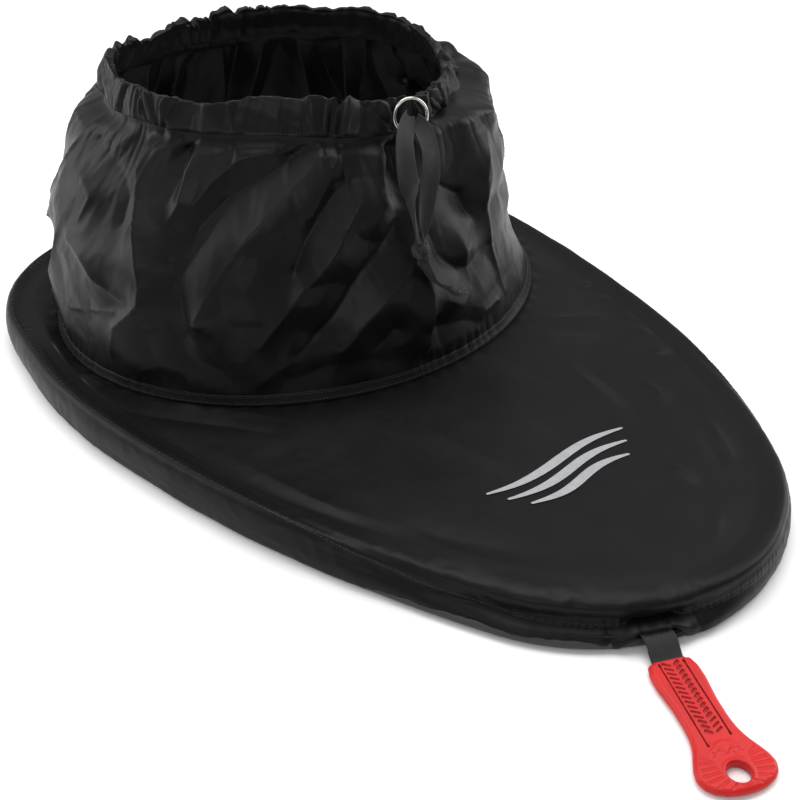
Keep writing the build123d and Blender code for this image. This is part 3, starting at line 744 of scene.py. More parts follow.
def tunnel_radius(th, z):
    """The tunnel wall's plain radius, mm, and its centre, seen from above in direction th (degrees)."""
    a, b, c = hermite(SEC_Z, SEC_A, z), hermite(SEC_Z, SEC_B, z), hermite(SEC_Z, SEC_C, z)
    t = np.radians(th)
    r = a * b / np.sqrt((b * np.cos(t)) ** 2 + (a * np.sin(t)) ** 2)
    left = bump(turn_from(th, -134), 0, 62) * np.interp(z, [38, 58, 80, 107, 123, 150, 178, 207, 232, 250], [0, 5, 4, 9, 12, 13, 16, 24, 31, 16])
    right = bump(turn_from(th, 55), 0, 60) * np.interp(z, [38, 60, 80, 123, 165, 208, 228, 243, 254], [2, -5, -13, -22, -17, 3, 13, 17, 9])
    front = bump(turn_from(th, -32), 0, 78) * np.interp(z, [120, 150, 190, 210, 228, 241, 256], [0, -2, -7, -11, -14, -16, -17])
    return r + left + right + front, c - MID


def foot_height(th):
    """Height of the tunnel's foot: low in the ditch behind the rim at the stern, level toward the bow."""
    return 38.0 - 9.0 * smooth(150, 60, np.abs(turn_from(th, 190)))


# folds of the tunnel wall: lines of (direction, height, mm out), and how they run
NET = [
    [(-81.2, 248, 3), (-80.1, 230, 9), (-74.8, 204, 13), (-73.0, 181, 14), (-70.4, 159, 14), (-68.3, 138, 14), (-68.0, 124, 16), (-70.7, 111, 14), (-73.9, 97, 15), (-74.8, 84, 12), (-75.8, 69, 8), (-77.0, 54, 3)],
    [(-83.6, 237, -5), (-80.4, 220, -7), (-78.2, 201, -4), (-77.0, 180, -1)],
    [(-66.6, 250, -4), (-68.9, 239, -9), (-66.9, 222, -8), (-67.3, 209, -2)],
    [(-64.5, 250, 3), (-65.0, 229, 5), (-63.8, 206, 5), (-66.2, 186, 5)],
    [(-58.8, 98, -7), (-59.3, 118, -6), (-60.9, 138, -5), (-63.6, 158, -3)],
    [(-66.7, 101, 6), (-62.5, 100, 0)],
    [(-94.7, 151, 8), (-87.5, 144, 9), (-82.1, 130, 9), (-77.9, 124, 6), (-71.2, 119, 8)],
    [(-100.3, 144, 8), (-101.7, 118, 8), (-107.4, 79, 8), (-111.9, 46, 6)],
    [(-111.9, 123, -8), (-111.9, 101, -10), (-111.9, 80, -8)],
    [(-116.8, 138, 5), (-118.8, 110, 5), (-119.8, 88, 4)],
    [(-91.6, 85, 5), (-81.7, 100, 6), (-75.1, 108, 8)],
    [(-106.7, 230, 3), (-107.3, 220, 7), (-108.0, 207, 9), (-114.8, 172, 8), (-118.7, 145, 7), (-112.4, 140, 7)],
    [(-97.2, 203, 8), (-91.3, 190, 7), (-92.6, 170, 6)],
    [(-101.0, 230, -4), (-93.4, 221, -6), (-85.5, 210, -6), (-81.2, 198, -5), (-80.2, 177, -3)],
    [(-26.4, 250, -3), (-32.7, 241, -6), (-40.1, 227, -8), (-47.0, 217, -9), (-53.4, 206, -9), (-58.1, 188, -7), (-59.4, 166, -5)],
    [(-23.5, 246, 4), (-31.0, 227, 5), (-38.1, 208, 5), (-44.5, 187, 6), (-48.9, 165, 6), (-53.0, 136, 6), (-55.8, 112, 4)],
    [(-32.4, 250, 2), (-40.2, 247, 3), (-50.1, 240, 4), (-56.8, 223, 4), (-60.3, 205, 4)],
    [(-17.1, 220, -4), (-21.7, 210, -7), (-26.4, 196, -8), (-30.4, 178, -8), (-33.3, 155, -7)],
    [(-20.3, 238, 4), (-24.5, 218, 4), (-28.5, 199, 2)],
    [(-13.2, 214, 4), (-18.8, 190, 5), (-24.8, 165, 6), (-31.9, 140, 6), (-37.4, 114, 5), (-41.2, 93, 3)],
    [(-4.8, 181, -9), (-10.9, 159, -10), (-16.5, 146, -10), (-21.9, 123, -9), (-27.7, 101, -7), (-33.2, 80, -4)],
    [(-0.6, 153, 4), (-5.1, 137, 6), (-11.8, 124, 6), (-18.2, 105, 6), (-23.3, 83, 3)],
    [(-9.5, 91, -4), (-14.9, 77, -4)],
    [(-0.1, 119, 8), (-0.7, 93, 9), (-1.7, 69, 6)],
    [(-2.6, 55, -4)],
    [(1.6, 90, -3), (2.8, 62, -3)],
    [(33.2, 211, 5), (28.7, 189, 7), (27.8, 164, 8), (28.0, 131, 9), (29.7, 101, 9), (30.7, 70, 7)],
    [(12.7, 213, -9), (15.6, 194, -13), (21.9, 179, -11), (23.3, 161, -6)],
    [(7.3, 190, -8), (4.7, 169, -6), (6.5, 142, -5), (11.7, 123, -3)],
    [(-0.7, 242, -8), (-3.8, 221, -9), (-5.2, 201, -8)],
    [(-3.4, 250, 4), (-4.2, 236, 6), (-6.8, 218, 6), (-7.2, 201, 4)],
    [(15.4, 56, 5), (18.9, 71, 7), (26.0, 70, 7)],
    [(14.9, 138, 3), (16.0, 103, 2), (10.5, 91, 4), (5.3, 105, 4)],
]
rand = np.random.default_rng(41)
# the side away from the eyelet: long slanting folds of the same kind
for c in np.arange(44, 232, 13.5):
    c0 = c + rand.uniform(-3, 3)
    slant = rand.uniform(-16, 16)
    top, low = rand.uniform(225, 246), rand.uniform(52, 120)
    h = rand.uniform(6, 11)
    zs = np.linspace(top, low, 6)
    NET.append([(c0 + slant * i / 5 + rand.uniform(-1.2, 1.2), zs[i], h * (0.35, 0.8, 1.0, 1.0, 0.8, 0.35)[i]) for i in range(6)])
    v0 = c0 + 6.5 + rand.uniform(-1.5, 1.5)
    slant2 = slant * 0.6 + rand.uniform(-6, 6)
    zs = np.linspace(rand.uniform(215, 244), rand.uniform(60, 150), 5)
    NET.append([(v0 + slant2 * i / 4, zs[i], -h * (0.35, 0.8, 0.9, 0.7, 0.3)[i]) for i in range(5)])
ROUND = 215.0


def on_drum(th, z):
    t = np.radians(th)
    return np.stack([ROUND * np.cos(t), ROUND * np.sin(t), np.asarray(z, float)], axis=-1)


knots, heights = [], []
for line in NET:
    for i in range(max(1, len(line) - 1)):
        a = np.array(line[i], float)
        b = np.array(line[min(i + 1, len(line) - 1)], float)
        span = np.linalg.norm(on_drum(a[0], a[1]) - on_drum(b[0], b[1]))
        m = max(1, int(span / 6.5))
        for j in range(m):
            q = a + (b - a) * j / m
            knots.append(on_drum(q[0], q[1]))
            heights.append(q[2])
    q = np.array(line[-1], float)
    if len(line) > 1:
        knots.append(on_drum(q[0], q[1]))
        heights.append(q[2])
for th in np.arange(-180, 180, 3.2):
    for z, h in ((float(foot_height(th)) - 4, 0.0), (float(foot_height(th)) + 7, 0.0), (258.0, 0.0), (266.0, 0.0)):
        knots.append(on_drum(th, z))
        heights.append(h)
knots, heights = np.array(knots), np.array(heights)
gap = np.linalg.norm(knots[:, None, :] - knots[None, :, :], axis=2)
keep = np.ones(len(knots), bool)
for i in range(len(knots)):
    if keep[i]:
        near = np.where(gap[i] < 2.0)[0]
        keep[near[near > i]] = False
knots, heights, gap = knots[keep], heights[keep], gap[np.ix_(keep, keep)]
m = len(knots)
system = np.zeros((m + 1, m + 1))
system[:m, :m] = gap - np.eye(m) * 0.35
system[:m, m] = system[m, :m] = 1
weights = np.linalg.solve(system, np.append(heights, 0.0))


def fold_height(th, z):
    p = on_drum(th, z).reshape(-1, 3)
    out = np.zeros(len(p))
    for i in range(0, len(p), 6000):
        q = p[i:i + 6000]
        d = np.sqrt(np.maximum((q * q).sum(1)[:, None] + (knots * knots).sum(1)[None, :] - 2 * q @ knots.T, 0))
        out[i:i + 6000] = d @ weights[:m] + weights[m]
    return out.reshape(np.shape(th))


# ------------------------------------------------------------ waist casing
def gather_phase(th):
    """Running count of the casing's gathers: close together where the cloth bunches."""
    t = np.linspace(-180, 180, 2881)
    dense = 24 + 20 * bump(turn_from(t, -84), 0, 26) + 24 * bump(turn_from(t, -20), 0, 15) + 22 * bump(turn_from(t, 14), 0, 24)
    dense = dense + 16 * bump(turn_from(t, 62), 0, 45) + 18 * bump(turn_from(t, 178), 0, 70) + 16 * bump(turn_from(t, -135), 0, 34)
    dense = dense - 12 * bump(turn_from(t, -50), 0, 24)
    dense = dense + 7 * np.sin(np.radians(t) * 7 + 1.0) + 6 * np.sin(np.radians(t) * 11 + 2.2)
    run = np.concatenate([[0], np.cumsum((dense[1:] + dense[:-1]) / 2 * np.diff(t) / 360)])
    whole = round(run[-1])
    return np.interp(th, t, run * whole / run[-1] * np.pi)


def gather_size(th):
    """How far the gathers stand out, mm."""
    a = 1.3 + 3.4 * bump(turn_from(th, -77), 0, 20) + 1.8 * bump(turn_from(th, -104), 0, 20) + 3.4 * bump(turn_from(th, -19), 0, 13) + 2.8 * bump(turn_from(th, 22), 0, 26)
    a = a + 1.6 * bump(turn_from(th, 62), 0, 45) + 2.0 * bump(turn_from(th, 178), 0, 80) + 1.8 * bump(turn_from(th, -130), 0, 34)
    a = a + 0.9 * np.sin(np.radians(th) * 5 + 0.4) * np.sin(np.radians(th) * 3 + 1.9)
    return np.maximum(a - 1.0 * bump(turn_from(th, -47), 0, 24), 0.35)


def puffs(th, twist=0.0, second=0.35):
    """Folds of gathered cloth: blunt puffs, pinched creases and a few sharp ridges, about -0.7 to 0.6."""
    ph = gather_phase(th) + twist
    ph = ph + 0.34 * np.sin(2 * ph) + 0.5 * np.sin(ph * 0.37 + 1.1)
    a = np.abs(np.sin(ph)) ** 0.6
    b = np.abs(np.sin(ph * 1.63 + 0.8 + 0.5 * np.sin(ph * 0.31))) ** 0.6
    c = 1 - np.abs(np.sin(ph * 0.41 + 0.9)) ** 0.5
    big = 0.55 + 0.45 * np.sin(ph * 0.23 + 2.0)
    return (a - 0.72) * big + second * (b - 0.7) + 0.55 * (c - 0.3)


# the largest folds of the gathered hem: (direction, half width in degrees, mm out, lean)
HEM_FOLDS = [(-88, 4.5, 7, 2), (-81, 2.6, -3, -2), (-75, 3.6, 8, -3), (-68, 2.6, -3, 2), (-62.5, 3.2, 4.5, 3), (-53, 2.0, 2.5, -2), (-38, 1.6, 2, 2), (-25.5, 2.4, 5.5, -2), (-20, 1.8, -3, 1),
             (-15.5, 2.4, 6.5, 3), (-9, 2.0, -2, 1), (13.5, 3.0, 7, 3), (20, 2.4, -3, -2), (27, 4.0, 8, -3), (36, 3.0, -3, 2), (44, 4.2, 7, 3), (55, 3.0, -3, -2), (63, 4.0, 6, -2), (76, 4.0, 5, 2), (90, 4.5, 5, -2),
             (-101, 4.0, 5.5, -2), (-109, 3.0, -3, 2), (-118, 4.5, 6, 2), (-130, 4.0, 4.5, -3), (-143, 3.4, 5, 2), (-156, 3.0, 4, -2), (-170, 3.0, 4.5, 2),
             (104, 3.0, 4, 2), (118, 3.4, 5, -2), (133, 3.0, 4, 2), (146, 3.0, 5, -2), (160, 3.2, 4.5, 2), (173, 3.0, 4, -2)]


def hem_folds(th, t):
    out = np.zeros(np.broadcast(th, t).shape)
    for c, w, h, lean in HEM_FOLDS:
        out = out + h * np.exp(-np.abs(turn_from(th, c + lean * (t - 0.4)) / w) ** 1.25)
    return out


def crease_height(th, z):
    """Pinched lines along the folds: a sharp crest or valley a few millimetres wide on each."""
    p = on_drum(th, z).reshape(-1, 3)
    out = np.zeros(len(p))
    r = np.random.default_rng(9)
    for line in NET:
        if len(line) < 2:
            continue
        q = on_drum(np.array([v[0] for v in line]), np.array([v[1] for v in line]))
        hs = np.array([v[2] for v in line], float)
        centre, span = q.mean(0), np.linalg.norm(q - q.mean(0), axis=1).max() + 34
        near = np.where(((p - centre) ** 2).sum(1) < span * span)[0]
        best, value = np.full(len(near), 1e9), np.zeros(len(near))
        for a, b, ha, hb in zip(q[:-1], q[1:], hs[:-1], hs[1:]):
            d = b - a
            w = p[near] - a
            t = np.clip((w @ d) / (d @ d), 0, 1)
            dist = np.sqrt(((w - t[:, None] * d) ** 2).sum(1))
            closer = dist < best
            best = np.where(closer, dist, best)
            value = np.where(closer, ha + (hb - ha) * t, value)
        sharp = r.uniform(2.8, 4.6)
        out[near] += np.clip(value, -9, 9) * 0.36 * np.exp(-best / sharp)
    return out.reshape(np.shape(th))


# the casing's seam and top edge, read off the photo: (direction, radius, height)
FOOT_RING = [(-180, 166, 247), (-165, 170, 248), (-150, 175, 250), (-135, 179, 251), (-120, 179, 252), (-105, 173, 252), (-90, 165, 253), (-75, 156, 254),
             (-60, 150, 256), (-45, 148, 257.5), (-30, 147, 257.5), (-15, 153, 254), (0, 157, 249), (15, 154, 250), (30, 153, 250), (45, 154, 250),
             (60, 156, 249), (75, 156, 247), (90, 157, 246), (105, 160, 245), (120, 162, 245), (135, 163, 245), (150, 163, 245), (165, 164, 246)]
TOP_RING = [(-180, 161, 276), (-165, 158, 273), (-150, 159, 275), (-135, 166, 280), (-120, 169, 281), (-105, 165, 281), (-90, 160, 280), (-75, 154, 281),
            (-60, 148, 283), (-45, 136, 288), (-30, 135, 289), (-15, 144, 286), (0, 153, 279), (15, 152, 276), (30, 149, 273), (45, 144, 270),
            (60, 142, 268), (75, 142, 271), (90, 149, 276), (105, 157, 277), (120, 157, 276), (135, 160, 275), (150, 161, 274), (165, 162, 275)]


def ring_at(ring, k, th):
    """One column of a ring's table in direction th, smooth all round."""
    t = np.arange(-540.0, 541.0, 1.0)
    tab = np.array(ring, float)
    v = np.interp((t + 180) % 360 - 180, np.append(tab[:, 0], 180.0), np.append(tab[:, k], tab[0, k]))
    w = np.hanning(27)
    v = np.convolve(v, w / w.sum(), "same")
    return np.interp(turn_from(th, 0), t, v)


def casing_foot(th):
    """Radius and height of the seam at the casing's foot."""
    return ring_at(FOOT_RING, 1, th), ring_at(FOOT_RING, 2, th) + 0.6 * np.sin(np.radians(th) * 9 + 2.4)


def casing_point(th, t, off):
    """A place on the casing: t from its foot (0) to its top edge (1), and a distance outward from that line."""
    rf, zf = casing_foot(th)
    rc, zc = ring_at(TOP_RING, 1, th), ring_at(TOP_RING, 2, th) + 1.3 * np.sin(np.radians(th) * 9 + 2.4) + 1.0 * np.sin(np.radians(th) * 15 + 0.6)
    dr, dz = rc - rf, zc - zf
    long = np.hypot(dr, dz)
    r, z = rf + dr * t + off * dz / long, zf + dz * t - off * dr / long
    k = np.radians(th)
    return r, z, WAIST_C + r * np.cos(k), r * np.sin(k)


NT = 900
tht = -180 + 360 * np.arange(NT) / NT


def casing_grid(rows=64):
    """The gathered hem that holds the drawcord: from its foot, up the outside, over the top and down the inside."""
    prof = np.array([(0.0, -0.6), (0.05, 0.4), (0.13, 0.9), (0.3, 1.5), (0.5, 1.7), (0.7, 1.4), (0.87, 0.6), (0.965, -0.3), (1.0, -1.4),
                     (0.965, -2.6), (0.87, -3.7), (0.7, -4.5), (0.5, -4.7), (0.3, -4.2), (0.12, -3.0), (0.02, -2.1), (-0.03, -1.4)])
    p = np.linspace(0, len(prof) - 1, rows)
    t0, o0 = hermite(np.arange(len(prof)), prof[:, 0], p), hermite(np.arange(len(prof)), prof[:, 1], p)
    th = np.repeat(tht[None, :], rows, 0)
    pp = np.repeat(p[:, None], NT, 1)
    t, off = np.repeat(t0[:, None], NT, 1), np.repeat(o0[:, None], NT, 1)
    size = gather_size(th)
    lean = 1.0 * np.sin(np.radians(th) * 6 + 0.7) + 0.8 * np.sin(np.radians(th) * 13 + 2.1)
    twist = lean * (pp - 5) * 0.16
    g = puffs(th, twist)
    outside = smooth(0.0, 2.0, pp) * (1 - smooth(8.5, 10.5, pp))
    inside = smooth(9.0, 11.0, pp) * (1 - smooth(15, 16, pp))
    cloth = waves(np.stack([th.ravel() * 3.0, t.ravel() * 30, pp.ravel() * 3], 1), 15, 77).reshape(th.shape)
    pinch = puffs(th * 1.0 + 2.0, twist * 2.2 + 0.35 * pp, 0.5)
    big = hem_folds(th, t)
    off = off + (size * (g * 2.1 + 0.9 * pinch) + 0.85 * big) * outside - size * puffs(th, twist + 1.3) * 1.1 * inside + 0.35 * cloth * (outside + inside)
    off = np.where(pp < 7.2, np.maximum(off, -0.35), np.where(pp > 8.8, np.minimum(off, -2.9 + 0.5 * smooth(14.5, 16, pp) * 3), off))
    seam = bump(pp, 0.8, 1.0)
    off = off - seam * (0.3 + 0.2 * size)
    crest = bump(pp, 8.2, 4.5)
    t = t + crest * (size * (g * 2.0 + 1.2 * pinch) + 0.5 * cloth + 0.42 * big) / 33.0
    r, z, x, y = casing_point(th, t, off)
    return np.stack([x, y, z], axis=2)


def wall_top(th):
    """The tunnel wall runs up to the casing's seam."""
    return casing_foot(th)[1] + 0.8


def tunnel_grid(rows=170, low=0.0, high=1.0, lift=0.0):
    th = np.repeat(tht[None, :], rows, 0)
    f = np.linspace(low, high, rows)[:, None]
    z_foot, z_top = foot_height(tht)[None, :], wall_top(tht)[None, :]
    z = z_foot + f * (z_top - z_foot)
    r, c = tunnel_radius(th, z)
    c = np.broadcast_to(c, r.shape)
    h = fold_height(th, z)
    keep_top = 1 - smooth(0.93, 1.0, f)
    keep_foot = smooth(0.0, 0.065, f)
    p = np.stack([th.ravel() * 3.75, z.ravel(), 0 * z.ravel()], 1)
    drum = on_drum(th, z).reshape(-1, 3)
    broad = waves(drum, 70, 11, 24).reshape(th.shape)
    crump = waves(drum, 34, 12, 28, (1, 1, 1.5)).reshape(th.shape)
    fine = waves(drum, 15, 13, 30, (1, 1, 1.3)).reshape(th.shape)
    facet = 0.55 - np.abs(waves(drum, 92, 14, 22, (1, 1, 1.7)).reshape(th.shape))
    facet2 = np.abs(waves(drum, 58, 15, 24, (1, 1, 1.6)).reshape(th.shape)) - 0.55
    creased = 0.42 * (0.55 - np.abs(crump)) + 0.10 * (0.55 - np.abs(fine)) + (2.2 * facet + 1.6 * facet2) * keep_foot * keep_top
    r = r + (0.86 * h + crease_height(th, z)) * keep_top * keep_foot + creased * keep_top * smooth(0.02, 0.12, f) + 0.6 * broad * keep_top * keep_foot
    # pleats that run down out of the gathers
    size = gather_size(th)
    down = z_top - z
    lean = 0.8 * np.sin(np.radians(th) * 6 + 0.7)
    g = puffs(th, lean * down * 0.012, 0.3)
    g2 = puffs(th * 1.0 + 4.0, 0.3 + lean * down * 0.02, 0.2)
    reach = 20 + 16 * (0.5 + 0.5 * np.sin(np.radians(th) * 8 + 1.7 * np.sin(np.radians(th) * 3)))
    r = r + size * g * 1.35 * np.exp(-(np.maximum(down, 0) / reach) ** 1.2) * smooth(0.0, 3.5, down)
    r = r + size * g2 * 0.5 * np.exp(-((down - 14) / 24) ** 2)
    r = r + 0.62 * hem_folds(th, -down / 40.0) * smooth(0.0, 6.0, down) * np.exp(-(np.maximum(down - 6, 0) / 17) ** 1.2)
    # short puckers over the foot seam
    up = z - z_foot
    ph = np.radians(th) * 58 + 2.2 * np.sin(np.radians(th) * 7) + 1.4 * np.sin(np.radians(th) * 17 + 1)
    side = 0.35 + 0.65 * bump(turn_from(th, -125), 0, 70) + 0.4 * bump(turn_from(th, 15), 0, 50) + 0.3 * bump(turn_from(th, 150), 0, 60)
    r = r + side * 1.7 * (np.abs(np.sin(ph)) ** 0.6 - 0.65) * np.exp(-(up - 11) ** 2 / 130.0)
    r = r + 2.0 * np.exp(-(up / 5.0) ** 2)
    # at the right end the slack cloth puffs up past the seam and folds back down to it
    z = z + (23 * bump(turn_from(th, 92), 0, 54) + 6 * bump(turn_from(th, 30), 0, 26)) * bump(f, 0.955, 0.055) * (1 + 0.12 * np.sin(np.radians(th) * 23))
    # join the casing
    t = np.radians(th)
    x, y = c + r * np.cos(t), r * np.sin(t)
    cg = casing_ring
    k = smooth(0.93, 1.0, f)[..., None]
    top = np.broadcast_to(cg[None, :, :2], x.shape + (2,))
    xy = np.stack([x, y], 2) * (1 - k) + top * k
    return np.concatenate([xy, z[..., None]], axis=2)


casing = casing_grid()
# the ring where the tunnel's cloth meets the casing: on its outside, just above the seam
ring_p = puffs(tht) * gather_size(tht) * 0.5
_, _, ring_x, ring_y = casing_point(tht, np.full(NT, 0.03), ring_p - 0.4)
casing_ring = np.stack([ring_x, ring_y], 1)
tunnel = tunnel_grid()

casing_ob = grid_piece("waist_casing_hem", casing)
thicken(casing_ob, 0.5)
finish_piece(casing_ob, "waist", "tunnel_cloth", "waist_casing")

tunnel_ob = grid_piece("waist_tunnel_cloth", tunnel)
thicken(tunnel_ob, 0.5)
finish_piece(tunnel_ob, None, "tunnel_cloth", "waist_tunnel")
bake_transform(tunnel_ob)

t_normal = normals_of(tunnel)
c_normal = normals_of(casing)


def on_tunnel(up):
    """Points and normals on the tunnel wall a height above its foot."""
    span = wall_top(tht) - foot_height(tht)
    row = up / span * (tunnel.shape[0] - 1)
    col = np.arange(NT, dtype=float)
    return sample(tunnel, row, col), sample(t_normal, row, col)


# the felled band at the tunnel's foot
band_rows = []
for up in np.linspace(-1.0, 10.0, 14):
    p, n = on_tunnel(max(up, 0.0))
    p = p + n * (0.75 if 0.4 < up < 9.6 else 0.1)
    if up < 0:
        p = p + np.array([0, 0, up]) + n * 0.6
    band_rows.append(p)
base_band = np.stack(band_rows)
band_ob = grid_piece("tunnel_foot_band", base_band)
thicken(band_ob, 0.5)
finish_piece(band_ob, "skirt", "tunnel_cloth", "tunnel_base_band")

rows = []
for i, up in enumerate((2.2, 7.6)):
    p, n = on_tunnel(up)
    rows.append(stitches(f"tunnel_foot_stitch_row_{i + 1}", p + n * 0.8, n, seed=30 + i))
for ob in rows:
    finish_piece(ob, "skirt", "thread")
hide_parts("tunnel_base_stitching")

# casing stitches at the casing's foot
row_at = 64 / 16 * 1.25
p, n = sample(casing, np.full(NT, row_at), np.arange(NT, dtype=float)), sample(c_normal, np.full(NT, row_at), np.arange(NT, dtype=float))
ob = stitches("casing_stitch_row", p, n, seed=40)
finish_piece(ob, "waist", "thread", "casing_stitching")

# front seam: a felled strip inside the front of the tunnel
span_cols = np.linspace(-7.4, -4.4, 7)
seam_grid = []
for f in np.linspace(0.02, 0.985, 90):
    row = np.full(7, f * (tunnel.shape[0] - 1))
    col = (span_cols + 180) / 360 * NT
    q, n = sample(tunnel, row, col), sample(t_normal, row, col)
    seam_grid.append(q - n * np.array([0.55, 1.1, 1.2, 1.2, 1.2, 1.1, 0.55])[:, None])
seam_ob = grid_piece("tunnel_front_seam_strip", np.stack(seam_grid), closed=False, flip=True)
thicken(seam_ob, 0.4)
finish_piece(seam_ob, None, "tunnel_cloth", "tunnel_front_seam")
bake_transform(seam_ob)

# --------------------------------------------------------------------- deck
inner_r, inner_c = tunnel_radius(rim_th, foot_height(rim_th))
foot_xy = np.stack([inner_c + (inner_r + 1.2) * np.cos(np.radians(rim_th)), (inner_r + 1.2) * np.sin(np.radians(rim_th))], 1)
foot_z = foot_height(rim_th)
shoulder_p = 16.0
sh = rim_points(np.array([shoulder_p]))[0]
reach = np.linalg.norm(sh[:, :2] - foot_xy, axis=1)
inward = (sh[:, :2] - foot_xy) / np.maximum(reach, 1e-6)[:, None]


def deck_rows(rows):
    """The deck from the tunnel's foot (0) to the rim's shoulder (1)."""
    f = np.asarray(rows, float)[:, None]
    xy = foot_xy[None] + (sh[:, :2] - foot_xy)[None] * f[..., None]
    low, high = foot_z[None], sh[:, 2][None]
    z = low + (high - low) * smooth(0.0, 1.0, f * 1.0)
    x, y = xy[..., 0], xy[..., 1]
    edge = np.sin(np.pi * np.clip(f, 0, 1))
    soft = smooth(0, 0.12, f) * (1 - smooth(0.9, 1.0, f))
    wide = smooth(25, 90, reach)[None]
    z = z + deck_folds(x, y) * soft
    drum = np.stack([x.ravel(), y.ravel(), 0 * x.ravel()], 1)
    z = z + (0.5 * waves(drum, 150, 51, 18).reshape(x.shape) * wide
             + 0.16 * (0.5 - np.abs(waves(drum, 60, 52, 24).reshape(x.shape)))
             + 0.05 * (0.5 - np.abs(waves(drum, 22, 53, 28).reshape(x.shape)))) * soft
    # slight sag between the tunnel and the bow
    z = z - 1.6 * edge * wide * smooth(80, 300, reach)[None]
    # dimples beside the foot seam
    near = np.linalg.norm(xy - foot_xy[None], axis=2)
    z = z + 0.5 * np.exp(-((near - 5) / 5) ** 2) * np.sin(np.radians(rim_th) * 61 + 2 * np.sin(np.radians(rim_th) * 9))[None]
    z = z - 1.0 * np.exp(-(near / 3.0) ** 2)
    return np.stack([x, y, z], axis=2)


# puckers along the rim seam: small radial pleats on the deck side, strongest at the stern's left
pucker_side = 0.30 + 0.9 * bump(turn_from(rim_th, -142), 0, 66) + 0.5 * bump(turn_from(rim_th, 150), 0, 60) + 0.35 * smooth(250, 350, rp[:, 0])
pph = col_s / 5.4 * np.pi + 1.6 * np.sin(col_s / 31.0) + 1.1 * np.sin(col_s / 13.0 + 1)
pucker = np.abs(np.sin(pph)) ** 0.7 - 0.62
NR = 116
u = np.linspace(0, 1, 96)
deck_f = np.clip(u + 0.10 * np.sin(2 * np.pi * u) / (2 * np.pi) * -1.0, 0, 1)
main = deck_rows(deck_f)
steps = 34
pw = np.linspace(0, 1, steps)[:, None]
p_from, p_to = np.full(N, shoulder_p), seam_p
shoulder_rows = p_from[None] + (p_to - p_from)[None] * pw
shoulder = rim_points(shoulder_rows)
lift = np.exp(-((shoulder_rows - seam_p[None] - 0.7) / 1.2) ** 2) * (pucker_side * pucker)[None] * 2.6
lift = lift - np.exp(-((shoulder_rows - seam_p[None] - 2.4) / 1.0) ** 2) * (0.5 + 1.5 * np.clip(pucker_side, 0, 1.1))[None]
out_n = np.concatenate([rn, np.zeros((N, 1))], 1)
tilt = (0.35 + 0.65 * bow_w)[None, :, None]
shoulder = shoulder + lift[..., None] * (out_n[None] * tilt + np.array([0, 0, 1.0])[None, None] * (1 - 0.5 * tilt))


def rim_ruck(grid, rows_p):
    """Broad slack in the rim cloth, with long folds that run along it toward the bow."""
    p = grid.reshape(-1, 3)
    a = waves(p, 60, 61, 20).reshape(grid.shape[:2])
    b = waves(p, 22, 62, 26).reshape(grid.shape[:2])
    amount = 0.35 + 0.6 * bow_w[None]
    height = amount * (0.55 * a + 0.45 * (0.5 - np.abs(b)))
    s = col_s[None]
    drift = (rows_p - 9) * 9
    long = np.sin((s + drift * 3.0) / 37.0 + 1.3 * np.sin(s / 71.0)) * np.exp(-((rows_p - 8) / 3.2) ** 2)
    height = height + (0.35 + 0.55 * bow_w[None]) * long
    fade = smooth(1.0, 4.0, rows_p) * (1 - smooth(14.0, 16.0, rows_p))
    return height * fade


# the hem bunches where the strap comes out
sa = math.radians(STRAP_DEG)
strap_at = np.array([354.31, -64.16])
strap_dir = np.array([math.cos(sa), math.sin(sa)])
strap_side = np.array([-math.sin(sa), math.cos(sa)])
off_strap = (rp - strap_at) @ strap_side
near_strap = np.where((rp - strap_at) @ strap_dir > -60, np.abs(off_strap), 999.0)


def strap_gather(grid, rows_p):
    """The cloth lifts over the webbing and gathers on both sides of it."""
    over = 1 - smooth(12.9, 30, near_strap)
    zone = np.exp(-((near_strap - 24) / 17) ** 2)
    ph = off_strap / 5.2 + 0.9 * np.sin(off_strap / 9.0)
    g = np.abs(np.sin(ph)) ** 0.6 - 0.6
    level = np.exp(-((rows_p - 6.2) / 3.0) ** 2)
    return over, zone, g, level


def with_slack(grid, rows_p):
    h = rim_ruck(grid, rows_p)
    over, zone, g, level = strap_gather(grid, rows_p)
    tilt = np.clip((rows_p - 10.0) / 6.0, 0, 1)[..., None]
    normal = out_n[None] * (1 - tilt) + np.array([0, 0, 1.0])[None, None] * tilt
    out = grid + normal * h[..., None]
    out = out + out_n[None] * (zone[None] * g[None] * level * 4.2 - 1.2 * over[None] * level)[..., None]
    z = out[..., 2]
    z = np.where(rows_p < 11, np.maximum(z, z * (1 - over[None]) + (14.9 + 0.27 * np.maximum(z, 0)) * over[None]), z)
    out[..., 2] = z + zone[None] * g[None] * level * 2.4 * smooth(3.0, 5.0, rows_p)
    out = out - out_n[None] * (5.0 * over[None] * np.exp(-((rows_p - 8.6) / 1.3) ** 2))[..., None]
    return out


shoulder = with_slack(shoulder, shoulder_rows)
deck = np.concatenate([main, shoulder[1:]], axis=0)
deck_ob = grid_piece("deck_cloth_panel", deck, flip=True)
thicken(deck_ob, 0.5, 1.0)
finish_piece(deck_ob, "skirt", "deck_cloth", "deck_panel")

# --------------------------------------------------------------- side band
band_pw = np.linspace(0, 1, 46)[:, None]
band_p = 2.0 + (seam_p - 0.0 - 2.0)[None] * band_pw
band = rim_points(band_p)
band = with_slack(band, band_p)
tuck = np.exp(-((band_p - seam_p[None]) / 0.9) ** 2)
band = band - out_n[None] * (tuck * (0.9 + 0.5 * pucker_side * -pucker)[None])[..., None]
side_band_ob = grid_piece("rim_side_band_cloth", band)
thicken(side_band_ob, 0.5)
finish_piece(side_band_ob, "skirt", "deck_cloth", "rim_side_band")

